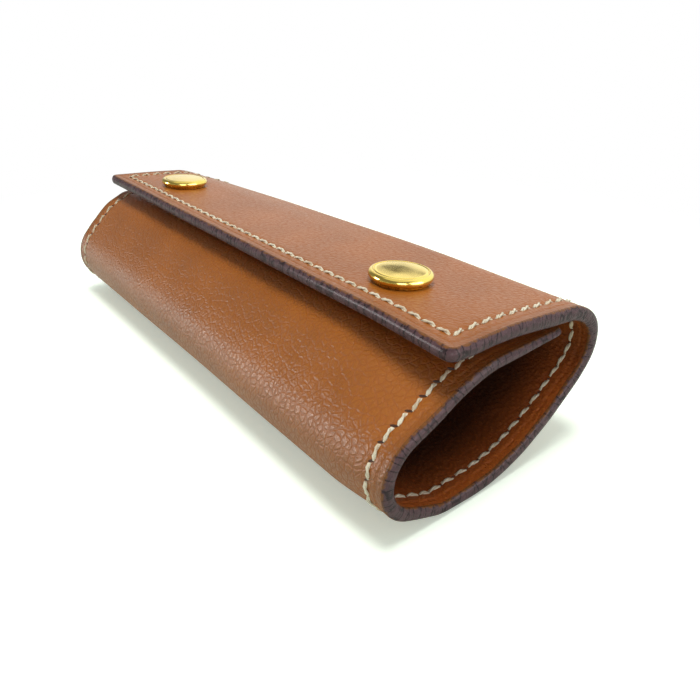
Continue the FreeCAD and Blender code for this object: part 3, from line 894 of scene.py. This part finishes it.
def paint_profile(deep):
    """Section of the edge paint as distance from the edge and depth, for a sheet this deep."""
    proud = 0.025 * mm
    inner_edge = 0.66 * mm
    sunk_edge = 0.09 * mm
    swell = 0.2 * mm
    covered = np.array([0.5, 0.4, 0.3, 0.2, 0.12, 0.06, 0.02]) * mm
    lobe = np.array([0.1, 0.3, 0.55, 0.8]) * 0.5
    e = np.concatenate([[inner_edge], covered, -swell * np.sin(math.pi * lobe)])
    rims = np.concatenate([e, e[::-1]])
    sides = []
    for share in (1.0, lining_round):
        fall = np.broadcast_to(share * rim_fall(covered) - proud, (len(deep), len(covered)))
        last = fall[:, -1:]
        sides.append(np.concatenate([np.full((len(deep), 1), sunk_edge), fall,
                                     last + (deep[:, None] - 2 * last) * lobe[None, :]], axis=1))
    depths = np.concatenate([sides[0], deep[:, None] - sides[1][:, ::-1]], axis=1)
    return rims, depths


class KEYCASE_OT_edge_paint(bpy.types.Operator):
    """Run the edge paint round the cut edges of leather and lining together"""
    bl_idname = "keycase.edge_paint"
    bl_label = "Edge paint"
    step = 0.6 * mm
    side_points = 190
    corner_step = 6

    def execute(self, context):
        for name, zone in zones.items():
            points, faces, flats = [], [], []
            for line in self.outline(zone.begin, zone.end):
                ring, flat = self.strip(line)
                steps, sides = ring.shape[:2]
                index = np.arange(steps * sides).reshape(steps, sides) + len(points)
                beside = np.roll(index, -1, axis=1)
                quads = np.stack([index[:-1], beside[:-1], beside[1:], index[1:]], axis=-1).reshape(-1, 4)
                faces += quads.tolist() + [index[0, ::-1].tolist(), index[-1].tolist()]
                points += ring.reshape(-1, 3).tolist()
                flats.append(flat)
            mesh = bpy.data.meshes.new(name + "_edge")
            mesh.from_pydata(points, [], faces)
            form = bmesh.new()
            form.from_mesh(mesh)
            bmesh.ops.recalc_face_normals(form, faces=form.faces)
            form.to_mesh(mesh)
            form.free()
            write_sheet_data(mesh, *np.concatenate(flats).T)
            finish_mesh(mesh, sharp=60)
            attach(new_piece(name + "_edge", mesh, named_material("Edge paint", edge_paint)), zone)
        return {"FINISHED"}

    def outline(self, begin, end):
        """Lines of the cut edge in a zone: S, X and the inward direction in the flat sheet."""
        steps = max(3, round((end - begin) / self.step))
        free_begin = begin == 0
        free_end = end == section.total
        low = corner_radius if free_begin else begin
        high = section.total - corner_radius if free_end else end
        run = np.linspace(low, high, steps)
        right = [(s, half_length, 0, -1) for s in run]
        left = [(s, -half_length, 0, 1) for s in run]
        if not (free_begin or free_end):
            return [right, left]
        side = 0 if free_begin else section.total
        sign = 1 if free_begin else -1
        reach = half_length - corner_radius
        front = [(side, x, sign, 0) for x in np.linspace(reach, -reach, self.side_points)]
        angles = range(self.corner_step, 90, self.corner_step)
        near_corner = [self.corner(angle, reach, 1, side, sign) for angle in angles]
        far_corner = [self.corner(angle, -reach, -1, side, sign) for angle in reversed(angles)]
        down = right[::-1] if free_begin else right
        back = left if free_begin else left[::-1]
        return [down + near_corner + front + far_corner + back]

    def corner(self, angle, reach, x_sign, side, sign):
        """Point of a rounded corner, from the end edge (0 degrees) to the side edge (90)."""
        turn = math.radians(angle)
        inward_s = sign * math.sin(turn)
        inward_x = -x_sign * math.cos(turn)
        centre_s = side + sign * corner_radius
        return (centre_s - inward_s * corner_radius, reach - inward_x * corner_radius, inward_s, inward_x)

    def strip(self, line):
        """Points of the paint along a line of the outline, and their flat coordinates. Each line
        begins at its own place in the paint's pattern."""
        lip_from = 0.4 * mm
        lip_wave = 0.05 * mm
        s, x, in_s, in_x = np.array(line).T
        own_start = 10 * x[0] + s[0]
        deep = section.bottom(s)
        rims, depths = paint_profile(deep)
        run = np.concatenate([[0], np.cumsum(np.hypot(np.diff(s), np.diff(x)))])
        lip = np.sin(s / (1.3 * mm) + x / (0.9 * mm)) + np.sin(s / (2.9 * mm) - x / (2.1 * mm))
        inward = rims[None, :] + np.where(rims[None, :] > lip_from, lip_wave * lip[:, None], 0)
        ring = section.at(s[:, None] + in_s[:, None] * inward, x[:, None] + in_x[:, None] * inward, depths)
        way = np.broadcast_to(run[:, None], depths.shape) + own_start
        from_face = np.minimum(depths, deep[:, None] - depths)
        from_edge = np.broadcast_to(rims, depths.shape)
        return ring, np.stack([way.ravel(), from_face.ravel(), from_edge.ravel()], axis=1)


def named_data(tree, name, kind):
    """Data of this name, stored on the points."""
    return made(tree, "GeometryNodeInputNamedAttribute", {"Name": name}, data_type=kind)


def joined(tree, *parts):
    """Several geometries as one."""
    node = add(tree, "GeometryNodeJoinGeometry")
    for part in parts:
        tree.links.new(part, node.inputs[0])
    return node.outputs[0]


def plied_stitch(tree, given):
    """One stitch: two plies of thread round each other, with both ends drawn down into the leather."""
    ply_share = 0.27
    swing_share = 0.19
    dive_share = -9.0
    width, run = given["Thread width"], given["Stitch length"]
    swing = reckon(tree, "MULTIPLY", width, swing_share)
    coil = made(tree, "GeometryNodeCurveSpiral", {"Resolution": 6, "Rotations": given["Ply turns"],
                "Start Radius": swing, "End Radius": swing, "Height": run})
    round_wire = made(tree, "GeometryNodeCurvePrimitiveCircle",
                      {"Resolution": 5, "Radius": reckon(tree, "MULTIPLY", width, ply_share)})
    strand = made(tree, "GeometryNodeCurveToMesh",
                  {"Curve": coil, "Profile Curve": round_wire, "Fill Caps": True})
    lower = made(tree, "ShaderNodeCombineXYZ", {"X": reckon(tree, "MULTIPLY", run, -0.5)})
    lying = made(tree, "GeometryNodeTransform",
                 {"Geometry": strand, "Translation": lower, "Rotation": (0, math.pi / 2, 0)})
    other = made(tree, "GeometryNodeTransform", {"Geometry": lying, "Rotation": (math.pi, 0, 0)})
    along = split(tree, made(tree, "GeometryNodeInputPosition"))["X"]
    share = reckon(tree, "POWER", reckon(tree, "DIVIDE", along, run), 4.0)
    sink = reckon(tree, "MULTIPLY", reckon(tree, "MULTIPLY", share, dive_share), width)
    arch = made(tree, "ShaderNodeCombineXYZ", {"Z": sink})
    stitch = made(tree, "GeometryNodeSetPosition", {"Geometry": joined(tree, lying, other), "Offset": arch})
    soft = made(tree, "GeometryNodeSetShadeSmooth", {"Geometry": stitch})
    return made(tree, "GeometryNodeSetMaterial", {"Geometry": soft, "Material": given["Thread"]})


def stitch_tree():
    """Node tree that sets a two-ply stitch on each stitch point and, on each hole point, a slit: a dark lens
    of painted shade.
    """
    slit_form = (1.0, 0.24, 0.16)
    stray_turn = 0.06
    tree = bpy.data.node_groups.new("Saddle stitch", "GeometryNodeTree")
    for name, kind in (("Geometry", "Geometry"), ("Thread width", "Float"), ("Stitch length", "Float"),
                       ("Ply turns", "Float"), ("Slit length", "Float"), ("Seed", "Int"),
                       ("Thread", "Material"), ("Slit", "Material")):
        tree.interface.new_socket(name, in_out="INPUT", socket_type="NodeSocket" + kind)
    tree.interface.new_socket("Geometry", in_out="OUTPUT", socket_type="NodeSocketGeometry")
    given = add(tree, "NodeGroupInput").outputs
    ball = made(tree, "GeometryNodeMeshIcoSphere", {"Radius": 0.5, "Subdivisions": 2})
    thin = made(tree, "ShaderNodeVectorMath", {0: slit_form, "Scale": given["Slit length"]},
                operation="SCALE")
    slit = made(tree, "GeometryNodeTransform", {"Geometry": ball, "Scale": thin})
    # The slit is a flat dark lens: painted shade for the inside of the hole
    slit = made(tree, "GeometryNodeSetMaterial", {"Geometry": slit, "Material": given["Slit"]})
    hole = named_data(tree, "hole", "BOOLEAN")
    upright = made(tree, "FunctionNodeAlignRotationToVector",
                   {"Vector": named_data(tree, "facing", "FLOAT_VECTOR")}, axis="Z")
    laid = made(tree, "FunctionNodeAlignRotationToVector",
                {"Rotation": upright, "Vector": named_data(tree, "along", "FLOAT_VECTOR")},
                axis="X", pivot_axis="Z")
    stray = add(tree, "FunctionNodeRandomValue", {2: -stray_turn, 3: stray_turn, "Seed": given["Seed"]},
                data_type="FLOAT").outputs[1]
    spin = made(tree, "ShaderNodeCombineXYZ",
                {"Z": reckon(tree, "ADD", named_data(tree, "lean", "FLOAT"), stray)})
    by = made(tree, "FunctionNodeEulerToRotation", {0: spin})
    turned = made(tree, "FunctionNodeRotateRotation", {"Rotation": laid, "Rotate By": by},
                  rotation_space="LOCAL")
    not_hole = made(tree, "FunctionNodeBooleanMath", {0: hole}, operation="NOT")
    stitches = made(tree, "GeometryNodeInstanceOnPoints",
                    {"Points": given["Geometry"], "Selection": not_hole,
                     "Instance": plied_stitch(tree, given), "Rotation": turned})
    slits = made(tree, "GeometryNodeInstanceOnPoints",
                 {"Points": given["Geometry"], "Selection": hole, "Instance": slit, "Rotation": turned,
                  "Scale": named_data(tree, "size", "FLOAT")})
    real = made(tree, "GeometryNodeRealizeInstances", {"Geometry": joined(tree, stitches, slits)})
    add(tree, "NodeGroupOutput", {"Geometry": real})
    return tree


class KEYCASE_OT_stitches(bpy.types.Operator):
    """Sew the edges: a row of saddle stitches on the leather and one on the lining"""
    bl_idname = "keycase.stitches"
    bl_label = "Stitches"
    slit_length = 1.25 * mm

    def execute(self, context):
        tree = stitch_tree()
        sizes = settings("stitches")
        values = {
            "Thread width": sizes.thread, "Stitch length": sizes.visible, "Ply turns": sizes.twist,
            "Slit length": self.slit_length, "Seed": sizes.seed,
            "Thread": named_material("Waxed linen thread", waxed_linen),
            "Slit": named_material("Awl slit painted shade", painted_slit_shade),
        }
        fields = (("along", "FLOAT_VECTOR", "vector"), ("facing", "FLOAT_VECTOR", "vector"),
                  ("lean", "FLOAT", "value"), ("size", "FLOAT", "value"), ("hole", "BOOLEAN", "value"))
        rows = self.rows()
        for name, zone in zones.items():
            chosen = np.array([row for row in rows if zone.begin <= row[0] < zone.end]).T
            faces = [self.points_on(*chosen, outer) for outer in (True, False)]
            places, *columns = [np.concatenate(part) for part in zip(*faces)]
            mesh = bpy.data.meshes.new(name + "_thread_points")
            mesh.from_pydata(places.tolist(), [], [])
            for (field, kind, value), data in zip(fields, columns):
                mesh.attributes.new(field, kind, "POINT").data.foreach_set(value, np.ravel(data))
            source = new_piece(name + "_thread_points", mesh)
            modifier = source.modifiers.new("Saddle stitch", "NODES")
            modifier.node_group = tree
            for item in tree.interface.items_tree:
                if item.in_out == "INPUT" and item.name in values:
                    modifier[item.identifier] = values[item.name]
            sewn = shaped(source)
            bpy.data.objects.remove(source)
            if len(sewn.polygons) == 0:
                raise RuntimeError("no stitches were made in zone " + name)
            sewn.name = name + "_thread"
            attach(new_piece(name + "_thread", sewn), zone)
        return {"FINISHED"}

    def rows(self):
        """Places of the stitches and their holes in the flat sheet, with the way along the row."""
        inset = settings("stitches").inset
        reach = half_length - inset
        found = []
        for x in (reach, -reach):
            found += self.row(inset, section.total - inset, lambda t, x=x: (t, x, 1, 0))
        for s in (inset, section.total - inset):
            found += self.row(-reach, reach, lambda t, s=s: (s, t, 0, 1))
        return found

    def row(self, begin, end, place):
        """Stitches between evenly pitched holes. No hole is set at either end of a row, so the corners have
        none.
        """
        pitch = row_pitch(end - begin)
        count = round((end - begin) / pitch)
        stitches = [(*place(begin + pitch * (k + 0.5)), False) for k in range(count)]
        holes = [(*place(begin + pitch * k), True) for k in range(1, count)]
        return stitches + holes

    def points_on(self, s, x, way_s, way_x, hole, outer):
        """Points on one face of the sheet, with the row's direction, the normal and the lean. On the
        front the holes show most, so there they are larger and moved inwards."""
        sizes = settings("stitches")
        hole_shift = 0.3 * mm
        lift_share = 0.16
        side_lean = 0.3
        lining_lean = -0.6
        slit_lean = -math.radians(58)
        slit_size = 0.45 if outer else 0.75
        front_size = 0.9
        step = 0.1 * mm
        on_front = outer * smooth((s - section.tuck_from) / (section.tuck_to - section.tuck_from))
        x = x - np.sign(x) * np.where(hole * way_s > 0, hole_shift * on_front, 0)
        relief = edge_relief(s, x)
        lift = np.where(hole, 0, lift_share * sizes.thread)
        facing = section.facing(s, x)
        depth = relief - lift if outer else section.bottom(s) - lining_round * relief + lift
        along = section.at(s + way_s * step, x + way_x * step, depth) - section.at(s, x, depth)
        along = along / np.linalg.norm(along, axis=-1, keepdims=True)
        turn = np.where(way_s > 0, sizes.slant, sizes.slant * side_lean) * (1 if outer else lining_lean)
        lean = np.where(hole, slit_lean, turn)
        size = np.where(hole, slit_size + front_size * on_front, 1.0)
        return section.at(s, x, depth), along, facing if outer else -facing, lean, size, hole.astype(bool)


def turned_mesh(name, profile, segments, matrix):
    """Closed mesh turned about Z from a profile of (radius, height) that starts and ends on the axis."""
    form = bmesh.new()
    angles = [2 * math.pi * k / segments for k in range(segments)]
    rings = []
    for radius, height in profile:
        if radius == 0:
            rings.append([form.verts.new((0, 0, height))])
        else:
            places = [(radius * math.cos(angle), radius * math.sin(angle), height) for angle in angles]
            rings.append([form.verts.new(place) for place in places])
    for low, high in zip(rings, rings[1:]):
        for k in range(segments):
            after = (k + 1) % segments
            corners = [low[k % len(low)], low[after % len(low)],
                       high[after % len(high)], high[k % len(high)]]
            form.faces.new(list(dict.fromkeys(corners)))
    bmesh.ops.recalc_face_normals(form, faces=form.faces)
    form.transform(matrix)
    return mesh_from(form, name)


def cap_profile():
    """Half section of a snap cap, from the foot of its stem over the rolled rim to the domed top."""
    stem = 1.5 * mm
    foot = 1.85 * mm
    flare = 2.0 * mm
    underside = 4.4 * mm
    bead = 0.66 * mm
    bead_r = 4.26 * mm
    bead_z = 0.98 * mm
    groove_width = 0.3 * mm
    groove_depth = 0.12 * mm
    dome = 0.14 * mm
    stem_end = leather + 0.4 * mm
    flare_end = stem_end + 0.25 * mm
    profile = [(0, -flare_end), (foot, -flare_end), (flare, -flare_end + 0.1 * mm), (flare, -stem_end),
               (stem, -stem_end), (stem, 0), (underside, 0)]
    for angle in np.linspace(-58, 90, 22):
        turn = math.radians(angle)
        profile.append((bead_r + bead * math.cos(turn), bead_z + bead * math.sin(turn)))
    crest = bead_z + bead
    for share in np.linspace(0, 1, 9)[1:]:
        sunk = groove_depth * math.sin(math.pi * share) ** 2
        profile.append((bead_r - groove_width * share, crest - sunk))
    edge = bead_r - groove_width
    for share in np.linspace(0, 1, 14)[1:-1]:
        profile.append((edge * (1 - share), crest + dome * (1 - (1 - share) ** 2)))
    profile.append((0, crest + dome))
    return profile


class KEYCASE_OT_snap_caps(bpy.types.Operator):
    """Turn the two gilt snap caps and set them on the flap"""
    bl_idname = "keycase.snap_caps"
    bl_label = "Snap caps"
    segments = 160

    def execute(self, context):
        gilt = named_material("Gilt brass", metal, settings("finishes").gilt, 0.13, 0.25 * mm)
        for side, x in snap_places.items():
            mesh = turned_mesh(side + "_cap", cap_profile(), self.segments, snap_matrix(x))
            finish_mesh(mesh, sharp=50)
            piece = new_piece(side + "_cap", mesh, gilt)
            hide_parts(side + "_snap_cap")
            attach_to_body(piece, "flap")
        return {"FINISHED"}


def finish_nodes(names, material):
    """Give kept nodes of the frame their procedural material."""
    for name in names:
        node = frame["nodes"][name]
        node.data.materials.clear()
        node.data.materials.append(material)


def softened(node, name, width, material):
    """Copy of a node with its edges rounded, which stands for the node."""
    source = frame["nodes"][node]
    form = bmesh.new()
    form.from_mesh(source.data)
    bmesh.ops.remove_doubles(form, verts=form.verts, dist=0.002 * mm)
    bmesh.ops.dissolve_limit(form, angle_limit=math.radians(1.0), verts=form.verts, edges=form.edges)
    mesh = mesh_from(form, name)
    mesh.materials.clear()
    piece = new_piece(name, mesh, material)
    bevel = piece.modifiers.new("Worn edges", "BEVEL")
    bevel.width = width
    bevel.segments = 2
    bevel.limit_method = "ANGLE"
    bevel.angle_limit = math.radians(40)
    rounded = shaped(piece)
    piece.modifiers.clear()
    piece.data = rounded
    finish_mesh(rounded, sharp=35)
    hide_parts(node)
    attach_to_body(piece, source["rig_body"])


class KEYCASE_OT_snap_works(bpy.types.Operator):
    """Finish the sockets, springs, studs and posts of the snaps"""
    bl_idname = "keycase.snap_works"
    bl_label = "Snap works"
    worn_edge = 0.06 * mm

    def execute(self, context):
        finish = settings("finishes")
        brass = named_material("Plated snap brass", metal, finish.brass, 0.22, 0.4 * mm)
        steel = named_material("Spring steel wire", metal, finish.steel, 0.25, 0.3 * mm)
        for side in snap_places:
            for work in ("socket", "stud", "post"):
                node = side + "_snap_" + work
                softened(node, node + "_worn", self.worn_edge, brass)
            finish_nodes([side + "_snap_spring"], steel)
        return {"FINISHED"}


class KEYCASE_OT_hook_row(bpy.types.Operator):
    """Finish the hook plate, its base and pins, and the four sprung hooks"""
    bl_idname = "keycase.hook_row"
    bl_label = "Hook row"
    plate_edge = 0.08 * mm
    base_edge = 0.3 * mm
    hook_edge = 0.1 * mm
    gate_shade = 0.95

    def execute(self, context):
        finish = settings("finishes")
        brass = named_material("Plated hook brass", metal, finish.brass, 0.18, 0.4 * mm)
        gate_tint = shade(finish.brass, self.gate_shade)[:3]
        gate = named_material("Plated gate brass", metal, gate_tint, 0.22, 0.4 * mm)
        steel = named_material("Drawn steel pin", metal, finish.steel, 0.28, 0.3 * mm)
        base = named_material("Sole leather", sole_leather)
        softened("hook_plate", "hook_plate_worn", self.plate_edge, brass)
        softened("hook_base", "hook_base_leather", self.base_edge, base)
        for k in range(1, 5):
            softened("key_hook_%d" % k, "key_hook_%d_worn" % k, self.hook_edge, brass)
            softened("hook_gate_%d" % k, "hook_gate_%d_worn" % k, self.plate_edge, gate)
            finish_nodes(["gate_pin_%d" % k], steel)
        finish_nodes(["hook_pin", "plate_rivets"], steel)
        return {"FINISHED"}


class KEYCASE_OT_stage(bpy.types.Operator):
    """Set the floor, the lamps, the white world and the camera"""
    bl_idname = "keycase.stage"
    bl_label = "Stage"
    floor_size = 6
    floor_level = -0.3 * mm
    shadow_from = 0.075
    shadow_to = 0.16
    dark_corner = (-0.676, 0.69, 0.26)
    camera_place = (0.098, -0.0608, 0.06144)
    camera_way = (-0.6864, 0.5470, -0.4793)
    white = (1, 1, 1, 1)

    def execute(self, context):
        scene = context.scene
        scene.view_settings.view_transform = "Standard"
        self.floor()
        self.world(scene)
        softbox = self.lamp("Overhead softbox", (0.05, -0.03, 0.60), (0, 0, 0.01), 0.2, 2.9)
        softbox.visible_glossy = False
        for name, place, size, power in (
                ("Left window", (-0.48, -0.60, 0.11), 0.24, 3.4),
                ("Middle window", (0.60, -0.43, 0.19), 0.36, 2.2),
                ("Right window", (0.66, 0.20, 0.19), 0.56, 4.4)):
            window = self.lamp(name, place, (0, 0, 0.02), size, power)
            window.visible_diffuse = False
        self.camera(scene)
        return {"FINISHED"}

    def floor(self):
        """Sheet of white paper that keeps the case's shadow and turns plain white further off."""
        form = bmesh.new()
        bmesh.ops.create_grid(form, x_segments=8, y_segments=8, size=self.floor_size)
        bmesh.ops.translate(form, verts=form.verts, vec=(0, 0, self.floor_level))
        mesh = mesh_from(form, "floor")
        material = bpy.data.materials.new("Matt white paper")
        tree = empty_tree(material)
        from_camera = add(tree, "ShaderNodeLightPath").outputs["Is Camera Ray"]
        paper = made(tree, "ShaderNodeBsdfDiffuse", {"Color": list(settings("stage").floor) + [1]})
        glow = made(tree, "ShaderNodeEmission", {"Color": self.white, "Strength": 1.0})
        radius = add(tree, "ShaderNodeVectorMath", {0: object_place(tree)}, operation="LENGTH")
        far = eased(tree, radius.outputs["Value"], self.shadow_from, self.shadow_to)
        bright = reckon(tree, "MULTIPLY", from_camera, 0.36)
        lift = made(tree, "ShaderNodeEmission", {"Color": (0.92, 1, 0.9, 1), "Strength": bright})
        lit = made(tree, "ShaderNodeAddShader", {0: paper, 1: lift})
        seen = reckon(tree, "MULTIPLY", from_camera, far)
        both = made(tree, "ShaderNodeMixShader", {0: seen, 1: lit, 2: glow})
        add(tree, "ShaderNodeOutputMaterial", {"Surface": both})
        new_piece("floor", mesh, material)

    def world(self, scene):
        """White surround. As a reflection it is a room: bright behind the case, dim on the camera's
        side, with one dark corner that shows in the caps."""
        world = bpy.data.worlds.new("White surround")
        tree = empty_tree(world)
        path = add(tree, "ShaderNodeLightPath").outputs
        seen = made(tree, "ShaderNodeMath", {0: path["Is Camera Ray"], 1: path["Is Transmission Ray"]},
                    operation="ADD", use_clamp=True)
        level = ranged(tree, seen, 0, 1, settings("stage").world, 1.0)
        way = add(tree, "ShaderNodeTexCoord").outputs["Generated"]
        apart = split(tree, way)
        room = eased(tree, apart["Y"], -0.05, 0.6, 0.25, 1.3)
        ceiling = eased(tree, apart["Z"], 0.78, 0.92, 0.0, 0.9)
        close = add(tree, "ShaderNodeVectorMath", {0: way, 1: self.dark_corner}, operation="DOT_PRODUCT")
        cloud = noise(tree, way, 1 / 9, 2.0, "3D")["Fac"]
        ragged = reckon(tree, "MULTIPLY_ADD", cloud, 0.012, close.outputs["Value"])
        corner = eased(tree, ragged, 1.0015, 1.0045, 1.0, 0.15)
        mirrored = reckon(tree, "MULTIPLY", reckon(tree, "MAXIMUM", room, ceiling), corner)
        strength = made(tree, "ShaderNodeMix", {0: path["Is Glossy Ray"], 2: level, 3: mirrored},
                        data_type="FLOAT")
        light = made(tree, "ShaderNodeBackground", {"Color": self.white, "Strength": strength})
        add(tree, "ShaderNodeOutputWorld", {"Surface": light})
        scene.world = world

    def lamp(self, name, place, target, size, power):
        """Square lamp that faces a target."""
        light = bpy.data.lights.new(name, "AREA")
        light.size = size
        light.energy = power * settings("stage").lamp
        lamp = bpy.data.objects.new(name, light)
        lamp.location = place
        lamp.rotation_euler = (Vector(target) - Vector(place)).to_track_quat("-Z", "Y").to_euler()
        bpy.context.scene.collection.objects.link(lamp)
        return lamp

    def camera(self, scene):
        """Camera at the photo's place."""
        data = bpy.data.cameras.new("camera")
        data.lens = 32.4
        data.sensor_width = 36
        data.clip_start = 0.005
        camera = bpy.data.objects.new("camera", data)
        camera.location = self.camera_place
        camera.rotation_euler = Vector(self.camera_way).to_track_quat("-Z", "Y").to_euler()
        scene.collection.objects.link(camera)
        scene.camera = camera


class KEYCASE_PT_panel(bpy.types.Panel):
    """Sidebar panel with the key case's sizes, colours and steps"""
    bl_idname = "KEYCASE_PT_panel"
    bl_label = "Key case"
    bl_space_type = "VIEW_3D"
    bl_region_type = "UI"
    bl_category = "Key case"

    def draw(self, context):
        for name in groups:
            box = self.layout.box()
            group = getattr(context.scene, name)
            for prop in group.bl_rna.properties:
                if prop.identifier not in ("rna_type", "name"):
                    box.prop(group, prop.identifier)
        for step in steps:
            self.layout.operator(step.bl_idname)


groups = {
    "key_case_sheets": KeyCaseSheets,
    "key_case_stitches": KeyCaseStitches,
    "key_case_finishes": KeyCaseFinishes,
    "key_case_stage": KeyCaseStage,
}
steps = (
    KEYCASE_OT_outer_leather,
    KEYCASE_OT_lining,
    KEYCASE_OT_edge_paint,
    KEYCASE_OT_stitches,
    KEYCASE_OT_snap_caps,
    KEYCASE_OT_snap_works,
    KEYCASE_OT_hook_row,
    KEYCASE_OT_stage,
)


def register():
    """Add the property groups, the operators and the panel."""
    for group in groups.values():
        bpy.utils.register_class(group)
    for name, group in groups.items():
        setattr(bpy.types.Scene, name, PointerProperty(type=group))
    for step in steps:
        bpy.utils.register_class(step)
    bpy.utils.register_class(KEYCASE_PT_panel)


def unregister():
    """Take them away again."""
    bpy.utils.unregister_class(KEYCASE_PT_panel)
    for step in reversed(steps):
        bpy.utils.unregister_class(step)
    for name in groups:
        delattr(bpy.types.Scene, name)
    for group in groups.values():
        bpy.utils.unregister_class(group)


def main():
    """Run every step."""
    register()
    for step in steps:
        area, name = step.bl_idname.split(".")
        getattr(getattr(bpy.ops, area), name)()


if __name__ == "__main__":
    main()
